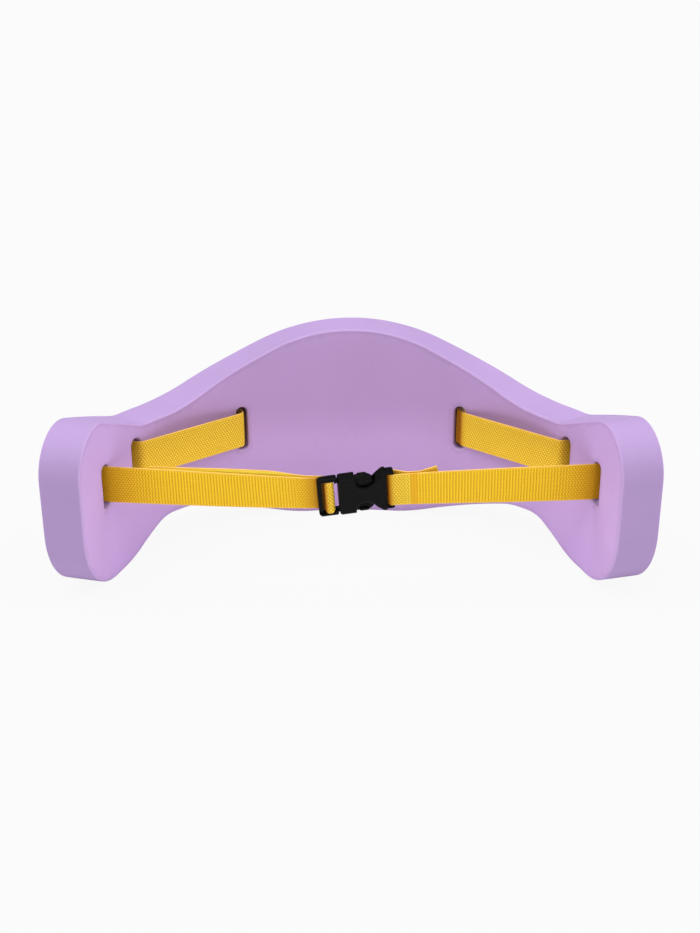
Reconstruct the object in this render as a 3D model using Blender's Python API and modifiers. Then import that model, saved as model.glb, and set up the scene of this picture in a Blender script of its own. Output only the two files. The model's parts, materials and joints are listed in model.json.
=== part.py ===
"""Kids' swim belt: a bent foam slab laced by one webbing strap, closed in front by a side-release buckle."""

import math

import bmesh
import bpy
from mathutils import Matrix, Vector

# Foam slab, measured along its middle surface (s), through it (w) and up from the slot line (z)
FOAM_THICKNESS = 0.0272
FOAM_HALF_LENGTH = 0.256
FOAM_EDGE_ROUND = 0.0025
BACK_BEND_RADIUS = 0.235
BACK_BEND_LENGTH = 0.080
SIDE_BEND_RADIUS = 0.140
SIDE_BEND_LENGTH = 0.137
BACK_SETBACK = 0.0674
STATION_STEP = 0.012
STATION_MERGE = 0.0020

# Foam outline: heights above and below the slot line, and where each slope starts along the slab
CENTRE_PEAK_HEIGHT = 0.0810
CENTRE_PEAK_RADIUS = 0.146
WAIST_TOP_HEIGHT = 0.023
WAIST_TOP_START = 0.130
WAIST_TOP_END = 0.1675
WAIST_TOP_IN_RADIUS = 0.092
WAIST_TOP_OUT_RADIUS = 0.025
END_TOP_HEIGHT = 0.0570
END_TOP_RADIUS = 0.0300
BASE_DEPTH = 0.0690
END_BASE_RADIUS = 0.047
END_BASE_START = 0.1870
END_BASE_IN_RADIUS = 0.055
WAIST_BASE_DEPTH = 0.0491
WAIST_BASE_END = 0.1495
WAIST_BASE_OUT_RADIUS = 0.032
WAIST_BASE_START = 0.125
WAIST_BASE_IN_RADIUS = 0.060
CENTRE_BASE_HALF_LENGTH = 0.042
CENTRE_BASE_RADIUS = 0.110

# Slots through the slab
SLOT_INNER_PLACE = 0.0808
SLOT_MIDDLE_PLACE = 0.1755
SLOT_OUTER_PLACE = 0.2175
SLOT_WIDTH = 0.010
INNER_SLOT_WIDTH = 0.0085
INNER_SLOT_CORNER = 0.0040
SLOT_END_CLEARANCE = 0.003
OUTER_SLOT_END_CLEARANCE = 0.0018
OUTER_SLOT_CORNER = 0.0030
OUTER_DROP_LEFT = 0.0022
OUTER_DROP_RIGHT = 0.00135
SLOT_CORNER = 0.0045
SLOT_FLARE = 0.0025
CUT_OVERRUN = 0.004

# Webbing
STRAP_WIDTH = 0.025
STRAP_THICKNESS = 0.0015
STRAP_BEND_RADIUS = 0.004
STRAP_LAYING_GAP = 0.00035
STRAP_SLOT_GAP = 0.00035
STRAP_STEP = 0.009
STRAP_BOW = 0.0005
LAYER_GAP = 0.00035
SOCKET_TAKE_UP = 0.012
PLUG_TAKE_UP = 0.006
INNER_CROSSING = 0.0170
INNER_STAND_OFF = 0.0019

# Buckle place and attitude in front of the waist
BUCKLE_SIDE_OFFSET = 0.0030
BUCKLE_FRONT = 0.124
BUCKLE_SAG = 0.002
BUCKLE_ROLL = math.radians(4.9)
BUCKLE_LEAN = math.radians(14.5)
BUCKLE_YAW = math.radians(6.6)

# Buckle sizes along its length (u), across it (v) and through it (n), from the buckle's middle
SOCKET_HALF_THICKNESS = 0.0045
SOCKET_ROUND = 0.0010
SOCKET_MOUTH_PLACE = -0.0110
SOCKET_BODY_END = 0.0189
SOCKET_MOUTH_HALF_WIDTH = 0.0137
SOCKET_NOTCH_START = -0.0006
SOCKET_NOTCH_LENGTH = 0.0128
SOCKET_NOTCH_BOTTOM = 0.0058
SOCKET_WAIST_HALF_WIDTH = 0.0106
SOCKET_FLARE_LENGTH = 0.0040
SOCKET_EAR_HALF_WIDTH = 0.0147
SOCKET_EAR_HALF_THICKNESS = 0.0027
SOCKET_END = 0.0240
CAVITY_HALF_WIDTH = 0.0129
CAVITY_HALF_THICKNESS = 0.0029
CAVITY_END = 0.0123
BAR_RADIUS = 0.0015
SOCKET_BAR_PLACE = 0.0225
PLUG_END = -0.0240
PLUG_HALF_WIDTH = 0.0148
PLUG_HALF_THICKNESS = 0.0026
PLUG_ROUND = 0.0009
PLUG_END_BAR_WIDTH = 0.0026
PLUG_END_BAR_HALF_THICKNESS = 0.0013
PLUG_CROSSBAR_PLACE = -0.0169
PLUG_RAIL_END = -0.0126
PLUG_WINDOW_STEP = -0.0134
PLUG_WINDOW_STEP_HALF_WIDTH = 0.0114
PLUG_BASE_START = -0.0112
PLUG_BASE_END = -0.0085
FIT_GAP = 0.0003
TONGUE_END = 0.0070
TONGUE_HALF_WIDTH = 0.0026
TONGUE_HALF_THICKNESS = 0.0015
ARM_ROOT_PLACE = 0.0075
ARM_ROOT_HALF_WIDTH = 0.0013
ARM_GRIP_HALF_WIDTH = 0.0132
ARM_GRIP_INNER = 0.0066
ARM_GRIP_LENGTH = 0.0110
ARM_SHOULDER = 0.0030
PAD_HALF_THICKNESS = 0.0040
PAD_INNER = 0.0107
PAD_LENGTH = 0.0060
PAD_SETBACK = 0.0017

# Strap ends at the buckle
STRAP_JOIN_CLEARANCE = 0.0020
PLUG_TAIL_LENGTH = 0.105
STRAP_JOIN_RISE = 0.0018
PLUG_TAIL_STAND_OFF = 0.0019
PLUG_TAIL_RISE = 0.0026
PLUG_TAIL_EASE = 0.030
PLUG_TAIL_SINK = 0.0018
TACK_START = 0.0115
TACK_END = 0.0160
SOCKET_TAIL_LENGTH = 0.0325
TAIL_TURN = math.radians(12.0)
TAIL_STAND_OFF = math.radians(7.0)
TAIL_TURN_LENGTH = 0.0080

SLOT_LINE_Z = BASE_DEPTH
LOOP_RADIUS = BAR_RADIUS + LAYER_GAP + STRAP_THICKNESS / 2
LAYER_PITCH = STRAP_THICKNESS + LAYER_GAP
LAY_OFFSET = FOAM_THICKNESS / 2 + STRAP_LAYING_GAP + STRAP_THICKNESS / 2
CORNER_OVERHANG = max(0, SLOT_CORNER - SLOT_END_CLEARANCE)
CORNER_DEPTH = SLOT_CORNER - math.sqrt(SLOT_CORNER ** 2 - CORNER_OVERHANG ** 2)
SLOT_WALL_OFFSET = SLOT_WIDTH / 2 - CORNER_DEPTH - STRAP_SLOT_GAP - STRAP_THICKNESS / 2
INNER_WALL_OFFSET = SLOT_WALL_OFFSET - (SLOT_WIDTH - INNER_SLOT_WIDTH) / 2
UP = Vector((0, 0, 1))


def clear_scene():
    for item in list(bpy.data.objects):
        bpy.data.objects.remove(item, do_unlink=True)


def new_collection(name):
    group = bpy.data.collections.new(name)
    bpy.context.scene.collection.children.link(group)
    return group


def material(name, colour, roughness):
    surface = bpy.data.materials.new(name)
    surface.use_nodes = True
    shader = surface.node_tree.nodes["Principled BSDF"]
    shader.inputs["Base Color"].default_value = (*colour, 1)
    shader.inputs["Roughness"].default_value = roughness
    shader.inputs["Metallic"].default_value = 0
    return surface


def add_object(name, mesh, group, surface=None):
    item = bpy.data.objects.new(name, mesh)
    group.objects.link(item)
    if surface is not None:
        mesh.materials.append(surface)
        mesh.shade_smooth()
        mesh.set_sharp_from_angle(angle=math.radians(35))
    return item


def mesh_of(bm, name):
    mesh = bpy.data.meshes.new(name)
    bm.to_mesh(mesh)
    bm.free()
    return mesh


def hide_cutter(item):
    item.hide_render = True
    item.display_type = "WIRE"


def cut(item, cutter, operation="DIFFERENCE"):
    step = item.modifiers.new(cutter.name, "BOOLEAN")
    step.operation = operation
    step.solver = "EXACT"
    step.object = cutter


def bend(s):
    """Middle surface of the slab in plan: two arcs a side and a straight end."""
    reach = abs(s)
    side = 1 if s >= 0 else -1
    back = min(reach, BACK_BEND_LENGTH) / BACK_BEND_RADIUS
    rest = min(max(reach - BACK_BEND_LENGTH, 0), SIDE_BEND_LENGTH)
    turn = back + rest / SIDE_BEND_RADIUS
    straight = max(reach - BACK_BEND_LENGTH - SIDE_BEND_LENGTH, 0)
    x = BACK_BEND_RADIUS * math.sin(back) + SIDE_BEND_RADIUS * (math.sin(turn) - math.sin(back))
    y = BACK_BEND_RADIUS * (math.cos(back) - 1) + SIDE_BEND_RADIUS * (math.cos(turn) - math.cos(back))
    x += straight * math.cos(turn)
    y -= straight * math.sin(turn)
    return Vector((side * x, BACK_SETBACK + y)), side * turn


def wall(s, w):
    """Plan point at s along the slab and w outward from its middle surface."""
    place, turn = bend(s)
    return place + w * Vector((math.sin(turn), math.cos(turn)))


def slot_point(place, across, w):
    """Plan point in a slot's own straight frame: across its width and w outward."""
    middle, turn = bend(place)
    along = Vector((math.cos(turn), -math.sin(turn)))
    out = Vector((math.sin(turn), math.cos(turn)))
    return middle + along * across + out * w


def rounded(corners):
    """A path of (point, radius, steps) corners as points, each radius drawn with its number of steps."""
    points = [corners[0][0].copy()]
    for before, (corner, radius, steps), after in zip(corners, corners[1:], corners[2:]):
        if not radius:
            points.append(corner.copy())
            continue
        back = (before[0] - corner).normalized()
        ahead = (after[0] - corner).normalized()
        half = math.acos(max(-1, min(1, back.dot(ahead)))) / 2
        reach = radius / math.tan(half)
        centre = corner + (back + ahead).normalized() * radius / math.sin(half)
        start = corner + back * reach - centre
        end = corner + ahead * reach - centre
        sweep = math.pi - 2 * half
        for step in range(steps + 1):
            share = step / steps
            points.append(centre + (start * math.sin((1 - share) * sweep) + end * math.sin(share * sweep))
                          / math.sin(sweep))
    points.append(corners[-1][0].copy())
    return points


def mirrored(corners):
    left = [(Vector((-corner.x, corner.y)), *rest) for corner, *rest in reversed(corners) if corner.x > 0]
    return left + corners


def foam_top():
    corners = [(Vector((0, CENTRE_PEAK_HEIGHT)), CENTRE_PEAK_RADIUS, 12),
               (Vector((WAIST_TOP_START, WAIST_TOP_HEIGHT)), WAIST_TOP_IN_RADIUS, 4),
               (Vector((WAIST_TOP_END, WAIST_TOP_HEIGHT)), WAIST_TOP_OUT_RADIUS, 3),
               (Vector((FOAM_HALF_LENGTH, END_TOP_HEIGHT)), END_TOP_RADIUS, 8),
               (Vector((FOAM_HALF_LENGTH, 0)), 0, 0)]
    return rounded(mirrored(corners))[1:-1]


def foam_base():
    corners = [(Vector((CENTRE_BASE_HALF_LENGTH, -BASE_DEPTH)), CENTRE_BASE_RADIUS, 3),
               (Vector((WAIST_BASE_START, -WAIST_BASE_DEPTH)), WAIST_BASE_IN_RADIUS, 3),
               (Vector((WAIST_BASE_END, -WAIST_BASE_DEPTH)), WAIST_BASE_OUT_RADIUS, 4),
               (Vector((END_BASE_START, -BASE_DEPTH)), END_BASE_IN_RADIUS, 4),
               (Vector((FOAM_HALF_LENGTH, -BASE_DEPTH)), END_BASE_RADIUS, 9),
               (Vector((FOAM_HALF_LENGTH, 0)), 0, 0)]
    return rounded(mirrored(corners))[1:-1]


def height_at(chain, s):
    for low, high in zip(chain, chain[1:]):
        if low.x <= s <= high.x and high.x > low.x:
            return low.y + (high.y - low.y) * (s - low.x) / (high.x - low.x)
    return chain[0].y if s < chain[0].x else chain[-1].y


def stations(chains):
    """Places along the slab: the outline's own points and an even step for the bend."""
    count = math.ceil(FOAM_HALF_LENGTH / STATION_STEP)
    places = [FOAM_HALF_LENGTH * step / count for step in range(count + 1)]
    own = [point.x for chain in chains for point in chain if 0 < point.x < FOAM_HALF_LENGTH - FOAM_EDGE_ROUND]
    kept = [0, FOAM_HALF_LENGTH]
    for place in sorted(own) + places:
        if all(abs(place - other) > STATION_MERGE for other in kept):
            kept.append(place)
    kept.sort()
    return [-place for place in reversed(kept[1:])] + kept


def sheet(name, feet, heads, thickness, group, surface):
    """A sheet between two rows of points, given its thickness on both sides."""
    bm = bmesh.new()
    row = [bm.verts.new(point) for point in feet]
    edges = [bm.edges.new(pair) for pair in zip(row, row[1:])]
    grown = bmesh.ops.extrude_edge_only(bm, edges=edges)["geom"]
    fresh = {piece for piece in grown if isinstance(piece, bmesh.types.BMVert)}
    for vert, head in zip(row, heads):
        top = next(edge.other_vert(vert) for edge in vert.link_edges if edge.other_vert(vert) in fresh)
        top.co = head
    item = add_object(name, mesh_of(bm, name), group, surface)
    thicken = item.modifiers.new("thickness", "SOLIDIFY")
    thicken.thickness = thickness
    thicken.offset = 0
    thicken.use_even_offset = True
    thicken.use_quality_normals = True
    return item


def outer_drop(side):
    """How far the outer slot of one side, and the webbing in it, sits below the slot line."""
    return OUTER_DROP_LEFT if side < 0 else OUTER_DROP_RIGHT


def slot_cutter(name, place, width, height, corner, drop, group):
    """A rounded slot whose rims open out at both faces of the slab."""
    bm = bmesh.new()
    bmesh.ops.create_cube(bm, size=1)
    straight = FOAM_THICKNESS - 2 * SLOT_FLARE
    bmesh.ops.scale(bm, vec=(width, straight, height), verts=bm.verts)
    long_edges = [edge for edge in bm.edges if abs(edge.verts[0].co.y - edge.verts[1].co.y) > straight / 2]
    bmesh.ops.bevel(bm, geom=long_edges, offset=corner, segments=3, profile=0.5, affect="EDGES")
    reach = SLOT_FLARE + CUT_OVERRUN
    spread = (1 + 2 * reach / width, 1, 1 + 2 * reach / height)
    for side in (-1, 1):
        bm.normal_update()
        cap = max(bm.faces, key=lambda face: face.normal.y * side)
        fresh = bmesh.ops.extrude_discrete_faces(bm, faces=[cap])["faces"][0]
        bmesh.ops.scale(bm, vec=spread, verts=fresh.verts)
        bmesh.ops.translate(bm, vec=(0, side * reach, 0), verts=fresh.verts)
    bmesh.ops.recalc_face_normals(bm, faces=bm.faces)
    cutter = add_object(name, mesh_of(bm, name), group)
    middle, turn = bend(place)
    cutter.location = (middle.x, middle.y, SLOT_LINE_Z - drop)
    cutter.rotation_euler = (0, 0, -turn)
    hide_cutter(cutter)
    return cutter


def make_foam(group, cutters, surface):
    top = foam_top()
    base = foam_base()
    places = stations([top, base])
    rise = Vector((0, 0, SLOT_LINE_Z))
    feet = [wall(s, 0).to_3d() + UP * height_at(base, s) + rise for s in places]
    heads = [wall(s, 0).to_3d() + UP * height_at(top, s) + rise for s in places]
    foam = sheet("foam_belt", feet, heads, FOAM_THICKNESS, group, surface)
    ease = foam.modifiers.new("eased_edges", "BEVEL")
    ease.width = FOAM_EDGE_ROUND
    ease.segments = 3
    ease.limit_method = "ANGLE"
    ease.angle_limit = math.radians(50)
    tall = STRAP_WIDTH + 2 * SLOT_END_CLEARANCE
    low = STRAP_WIDTH + 2 * OUTER_SLOT_END_CLEARANCE
    for side, hand in ((-1, "left"), (1, "right")):
        slots = (("inner", SLOT_INNER_PLACE, INNER_SLOT_WIDTH, tall, INNER_SLOT_CORNER, 0),
                 ("middle", SLOT_MIDDLE_PLACE, SLOT_WIDTH, tall, SLOT_CORNER, 0),
                 ("outer", SLOT_OUTER_PLACE, SLOT_WIDTH, low, OUTER_SLOT_CORNER, outer_drop(side)))
        for label, place, *sizes in slots:
            cut(foam, slot_cutter(f"slot_{label}_{hand}", side * place, *sizes, cutters))
    return foam


def buckle_matrix():
    """The buckle's own frame: u along it, v up its face, n out of its face."""
    along = Vector((math.cos(BUCKLE_ROLL), 0, math.sin(BUCKLE_ROLL)))
    across = Vector((-math.sin(BUCKLE_ROLL), 0, math.cos(BUCKLE_ROLL)))
    out = along.cross(across)
    lean_across = across * math.cos(BUCKLE_LEAN) + out * math.sin(BUCKLE_LEAN)
    lean_out = along.cross(lean_across)
    place = Vector((BUCKLE_SIDE_OFFSET, BACK_SETBACK - BUCKLE_FRONT, SLOT_LINE_Z - BUCKLE_SAG))
    turn = Matrix((along, lean_across, lean_out)).transposed().to_4x4()
    return Matrix.Translation(place) @ Matrix.Rotation(BUCKLE_YAW, 4, "Z") @ turn


def lacing(crosses):
    """Plan route of one side's webbing, from the middle of the back to its outer slot.

    In the inner slot it follows the wall nearer the middle until it crosses over, or stays a little off it.
    """
    near = -INNER_WALL_OFFSET + (0 if crosses else INNER_STAND_OFF)
    inner_edge = SLOT_INNER_PLACE + near
    steps = math.ceil(inner_edge / STRAP_STEP)
    path = [(wall(inner_edge * step / steps, LAY_OFFSET), 0, 0) for step in range(1, steps)]
    bend_radius = (STRAP_BEND_RADIUS, 5)
    path.append((slot_point(SLOT_INNER_PLACE, near, LAY_OFFSET), *bend_radius))
    if crosses:
        depth = INNER_CROSSING - LAY_OFFSET
        path.append((slot_point(SLOT_INNER_PLACE, near, depth), *bend_radius))
        path.append((slot_point(SLOT_INNER_PLACE, INNER_WALL_OFFSET, -LAY_OFFSET), *bend_radius))
    else:
        path.append((slot_point(SLOT_INNER_PLACE, near, -LAY_OFFSET), *bend_radius))
    path.append((slot_point(SLOT_MIDDLE_PLACE, -SLOT_WALL_OFFSET, -LAY_OFFSET), *bend_radius))
    path.append((slot_point(SLOT_MIDDLE_PLACE, SLOT_WALL_OFFSET, LAY_OFFSET), *bend_radius))
    leave = SLOT_MIDDLE_PLACE + SLOT_WALL_OFFSET
    enter = SLOT_OUTER_PLACE - SLOT_WALL_OFFSET
    steps = math.ceil((enter - leave) / STRAP_STEP)
    path += [(wall(leave + (enter - leave) * step / steps, LAY_OFFSET), 0, 0) for step in range(1, steps)]
    path.append((slot_point(SLOT_OUTER_PLACE, -SLOT_WALL_OFFSET, LAY_OFFSET), *bend_radius))
    path.append((slot_point(SLOT_OUTER_PLACE, -SLOT_WALL_OFFSET, -FOAM_THICKNESS / 2), 0, 0))
    return path


def smooth(share):
    share = max(0, min(1, share))
    return share * share * (3 - 2 * share)


def settled(point):
    """A laced plan point in space: on the slot line, and beyond the middle slot sinking to the outer one."""
    side = 1 if point.x > 0 else -1
    middle = bend(SLOT_MIDDLE_PLACE)[0].y
    outer = bend(SLOT_OUTER_PLACE)[0].y
    drop = outer_drop(side) * smooth((middle - point.y) / (middle - outer))
    return point.to_3d() + UP * (SLOT_LINE_Z - drop)


def stretch(start, end, reach, lean):
    """Webbing between the outer slot and the buckle: a shallow bow that takes up the buckle's lean."""
    length = (end - start).length
    first = start + (end - start) / 3 - Vector((0, STRAP_BOW, 0))
    second = end - reach
    count = math.ceil(length / STRAP_STEP)
    rows = []
    for step in range(count + 1):
        t = step / count
        point = (start * (1 - t) ** 3 + first * 3 * t * (1 - t) ** 2
                 + second * 3 * t * t * (1 - t) + end * t ** 3)
        rows.append((point, UP.lerp(lean, smooth(t)).normalized()))
    return rows


def facing(rows, index):
    """Direction along a stretch and the side that faces out of the buckle's front."""
    low = rows[max(index - 1, 0)][0]
    high = rows[min(index + 1, len(rows) - 1)][0]
    along = (high - low).normalized()
    return along, along.cross(rows[index][1]).normalized()


def ribbon(name, rows, group, surface):
    half = STRAP_WIDTH / 2
    feet = [point - up * half for point, up in rows]
    heads = [point + up * half for point, up in rows]
    return sheet(name, feet, heads, STRAP_THICKNESS, group, surface)


def layered(rows, start, end, offset_start, offset_end, ease_length, side, rise=0, sink=0):
    """The second layer behind a stretch, between two distances from its first row.

    It eases out and up over one length, and then sinks towards its end.
    """
    out = []
    travelled = 0
    for index in range(len(rows)):
        if index:
            travelled += (rows[index][0] - rows[index - 1][0]).length
        if travelled < start or travelled > end:
            continue
        along, normal = facing(rows, index)
        eased = smooth(travelled / ease_length)
        offset = offset_start + (offset_end - offset_start) * eased
        lift = rise * eased - sink * smooth((travelled - ease_length) / (end - ease_length))
        out.append((rows[index][0] - side * normal * offset + rows[index][1] * lift, rows[index][1]))
    return out


def even_rows(rows, step):
    """The same stretch with rows an even distance apart."""
    spans = [(b[0] - a[0]).length for a, b in zip(rows, rows[1:])]
    total = sum(spans)
    count = math.ceil(total / step)
    result = []
    for mark in range(count + 1):
        goal = total * mark / count
        run = 0
        for (a, b), span in zip(zip(rows, rows[1:]), spans):
            if goal <= run + span or (a, b) == (rows[-2], rows[-1]):
                share = min(1, (goal - run) / span)
                result.append((a[0].lerp(b[0], share), a[1].lerp(b[1], share).normalized()))
                break
            run += span
    return result


def make_straps(group, surface):
    frame = buckle_matrix()
    across = frame.col[1].to_3d()
    along = frame.col[0].to_3d()
    left_half = [(Vector((-corner.x, corner.y)), *rest) for corner, *rest in reversed(lacing(False))]
    laced = [(settled(point), UP) for point in rounded(left_half + lacing(True))]

    # Right side: to the socket's bar, round it, and back behind itself to the cut end
    bar = Vector((SOCKET_BAR_PLACE, 0))
    bar_front = frame @ Vector((bar.x, 0, LOOP_RADIUS))
    right = stretch(laced[-1][0], bar_front, -along * SOCKET_TAKE_UP, across)
    turn = []
    for step in range(1, 9):
        angle = math.pi * (0.5 + step / 8)
        spot = Vector((bar.x + LOOP_RADIUS * math.cos(angle), 0, LOOP_RADIUS * math.sin(angle)))
        turn.append((frame @ spot, across))
    outward = even_rows(list(reversed(right)), STRAP_BEND_RADIUS / 2)
    behind = layered(outward, STRAP_BEND_RADIUS / 2, TACK_END, 2 * LOOP_RADIUS, LAYER_PITCH, TACK_START, 1)
    run, normal = facing(outward, round(TACK_END / (STRAP_BEND_RADIUS / 2)))
    last_point, last_up = behind[-1]
    tail = []
    point = last_point
    pieces = math.ceil((SOCKET_TAIL_LENGTH - TACK_END) / STRAP_BEND_RADIUS)
    piece = (SOCKET_TAIL_LENGTH - TACK_END) / pieces
    for step in range(1, pieces + 1):
        share = smooth(step * piece / TAIL_TURN_LENGTH)
        heading = run * math.cos(TAIL_TURN * share) + last_up * math.sin(TAIL_TURN * share)
        up = last_up * math.cos(TAIL_TURN * share) - run * math.sin(TAIL_TURN * share)
        away = heading * math.cos(TAIL_STAND_OFF * share) - normal * math.sin(TAIL_STAND_OFF * share)
        point = point + away * piece
        tail.append((point.copy(), up))
    ribbon("strap_webbing", laced + right[1:] + turn + behind + tail, group, surface)

    # Left side: free stretch up to the plug's end bar
    meet = frame @ Vector((PLUG_END - STRAP_JOIN_CLEARANCE, STRAP_JOIN_RISE, -under_bar()))
    left = stretch(laced[0][0], meet, along * PLUG_TAKE_UP, across)
    shortened = [(left[0][0] + (left[1][0] - left[0][0]).normalized() * LAYER_GAP, left[0][1])] + left[1:]
    ribbon("strap_left_front", shortened, group, surface)

    # Plug end: under the end bar, over the crossbar, and back as the adjuster's tail
    middle = PLUG_CROSSBAR_PLACE
    tail_depth = under_bar() + LAYER_PITCH
    crown = LOOP_RADIUS - LAYER_GAP / 2
    route = [(Vector((PLUG_END - STRAP_JOIN_CLEARANCE + LAYER_GAP, -under_bar())), 0, 0),
             (Vector((PLUG_END + PLUG_END_BAR_WIDTH, -under_bar())), 0, 0),
             (Vector((middle - LOOP_RADIUS, -under_bar())), STRAP_THICKNESS, 4),
             (Vector((middle - LOOP_RADIUS, LOOP_RADIUS)), crown, 4),
             (Vector((middle + LOOP_RADIUS, LOOP_RADIUS)), crown, 4),
             (Vector((middle + LOOP_RADIUS, -tail_depth)), LOOP_RADIUS, 4),
             (Vector((PLUG_END - STRAP_JOIN_CLEARANCE, -tail_depth)), 0, 0)]
    wrap = [(frame @ Vector((point.x, join_rise(point.x), point.y)), across) for point in rounded(route)]
    outward = even_rows(list(reversed(left)), STRAP_STEP)
    behind = layered(outward, STRAP_STEP / 2, PLUG_TAIL_LENGTH, LAYER_PITCH, PLUG_TAIL_STAND_OFF,
                     PLUG_TAIL_EASE, -1, PLUG_TAIL_RISE, PLUG_TAIL_SINK)
    ribbon("strap_plug_end", wrap + behind, group, surface)


def join_rise(u):
    """How far the webbing sits up from the plug's middle; level again once it is past the end bar."""
    start = PLUG_END - STRAP_JOIN_CLEARANCE
    return STRAP_JOIN_RISE * (1 - smooth((u - start) / (PLUG_END + PLUG_END_BAR_WIDTH - start)))


def under_bar():
    return PLUG_END_BAR_HALF_THICKNESS + LAYER_GAP + STRAP_THICKNESS / 2


def outline_mesh(name, points, half_thickness, rounding, flip=False):
    """A flat outline with rounded edges, as a closed mesh."""
    data = bpy.data.curves.new(name, "CURVE")
    data.dimensions = "2D"
    data.fill_mode = "BOTH"
    data.extrude = half_thickness - rounding
    data.bevel_depth = rounding
    data.bevel_resolution = 1
    data.offset = -rounding
    spline = data.splines.new("POLY")
    spline.points.add(len(points) - 1)
    for slot, (u, v) in zip(spline.points, points):
        slot.co = (u, v, 0, 1)
    spline.use_cyclic_u = True
    holder = bpy.data.objects.new(name, data)
    bpy.context.scene.collection.objects.link(holder)
    ready = holder.evaluated_get(bpy.context.evaluated_depsgraph_get())
    mesh = bpy.data.meshes.new_from_object(ready)
    bpy.data.objects.remove(holder, do_unlink=True)
    bpy.data.curves.remove(data)
    bm = bmesh.new()
    bm.from_mesh(mesh)
    bmesh.ops.remove_doubles(bm, verts=bm.verts, dist=FIT_GAP / 30)
    bmesh.ops.recalc_face_normals(bm, faces=bm.faces)
    bm.to_mesh(mesh)
    bm.free()
    mesh.name = name
    return mesh


def box_mesh(name, low, high):
    bm = bmesh.new()
    bmesh.ops.create_cube(bm, size=1)
    size = [b - a for a, b in zip(low, high)]
    middle = [(a + b) / 2 for a, b in zip(low, high)]
    bmesh.ops.scale(bm, vec=size, verts=bm.verts)
    bmesh.ops.translate(bm, vec=middle, verts=bm.verts)
    return mesh_of(bm, name)


def bar_mesh(name, place, half_length):
    bm = bmesh.new()
    bmesh.ops.create_cone(bm, cap_ends=True, segments=12, radius1=BAR_RADIUS, radius2=BAR_RADIUS,
                          depth=2 * half_length)
    bmesh.ops.rotate(bm, cent=(0, 0, 0), matrix=Matrix.Rotation(math.pi / 2, 3, "X"), verts=bm.verts)
    bmesh.ops.translate(bm, vec=(place, 0, 0), verts=bm.verts)
    return mesh_of(bm, name)


def helper(name, mesh, cutters, parent):
    item = add_object(name, mesh, cutters)
    item.parent = parent
    hide_cutter(item)
    return item


def both_sides(half):
    return half + [(u, -v) for u, v in reversed(half)]


def make_socket(group, cutters, surface, parent):
    notch_end = SOCKET_NOTCH_START + SOCKET_NOTCH_LENGTH
    drop = CAVITY_HALF_WIDTH - SOCKET_NOTCH_BOTTOM
    # Notch curve as shares of its length and of its depth below the cavity's wall
    notch_shares = ((0.05, 0.50), (0.17, 0.82), (0.38, 1.00), (0.62, 0.93), (0.84, 0.68))
    notch = [(SOCKET_NOTCH_START + a * SOCKET_NOTCH_LENGTH, CAVITY_HALF_WIDTH - b * drop)
             for a, b in notch_shares]
    flare_end = notch_end + SOCKET_FLARE_LENGTH
    half = [(SOCKET_MOUTH_PLACE, SOCKET_MOUTH_HALF_WIDTH - SOCKET_ROUND),
            (SOCKET_MOUTH_PLACE + SOCKET_ROUND, SOCKET_MOUTH_HALF_WIDTH),
            (SOCKET_NOTCH_START, SOCKET_MOUTH_HALF_WIDTH), *notch,
            (notch_end, SOCKET_WAIST_HALF_WIDTH),
            (flare_end, SOCKET_EAR_HALF_WIDTH - SOCKET_ROUND / 2),
            (flare_end + SOCKET_ROUND, SOCKET_EAR_HALF_WIDTH),
            (SOCKET_END - SOCKET_ROUND, SOCKET_EAR_HALF_WIDTH),
            (SOCKET_END, SOCKET_EAR_HALF_WIDTH - SOCKET_ROUND)]
    outline = list(reversed(both_sides(half)))
    mesh = outline_mesh("buckle_socket", outline, SOCKET_HALF_THICKNESS, SOCKET_ROUND)
    socket = add_object("buckle_socket", mesh, group, surface)
    socket.parent = parent
    cavity_low = (SOCKET_MOUTH_PLACE - CUT_OVERRUN, -CAVITY_HALF_WIDTH, -CAVITY_HALF_THICKNESS)
    cavity = box_mesh("socket_cavity", cavity_low, (CAVITY_END, CAVITY_HALF_WIDTH, CAVITY_HALF_THICKNESS))
    cut(socket, helper("socket_cavity", cavity, cutters, parent))
    window_half = STRAP_WIDTH / 2 + LAYER_GAP
    window = box_mesh("socket_window", (SOCKET_BODY_END, -window_half, -SOCKET_HALF_THICKNESS - CUT_OVERRUN),
                      (SOCKET_END + CUT_OVERRUN, window_half, SOCKET_HALF_THICKNESS + CUT_OVERRUN))
    cut(socket, helper("socket_window", window, cutters, parent))
    for side in (-1, 1):
        faces = sorted((side * SOCKET_EAR_HALF_THICKNESS, side * (SOCKET_HALF_THICKNESS + CUT_OVERRUN)))
        step = box_mesh("ear_step", (SOCKET_BODY_END, -SOCKET_EAR_HALF_WIDTH - CUT_OVERRUN, faces[0]),
                        (SOCKET_END + CUT_OVERRUN, SOCKET_EAR_HALF_WIDTH + CUT_OVERRUN, faces[1]))
        cut(socket, helper(f"ear_step_{'back' if side < 0 else 'front'}", step, cutters, parent))
    bar = bar_mesh("socket_bar", SOCKET_BAR_PLACE, window_half + BAR_RADIUS)
    cut(socket, helper("socket_bar", bar, cutters, parent), "UNION")
    return socket


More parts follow.
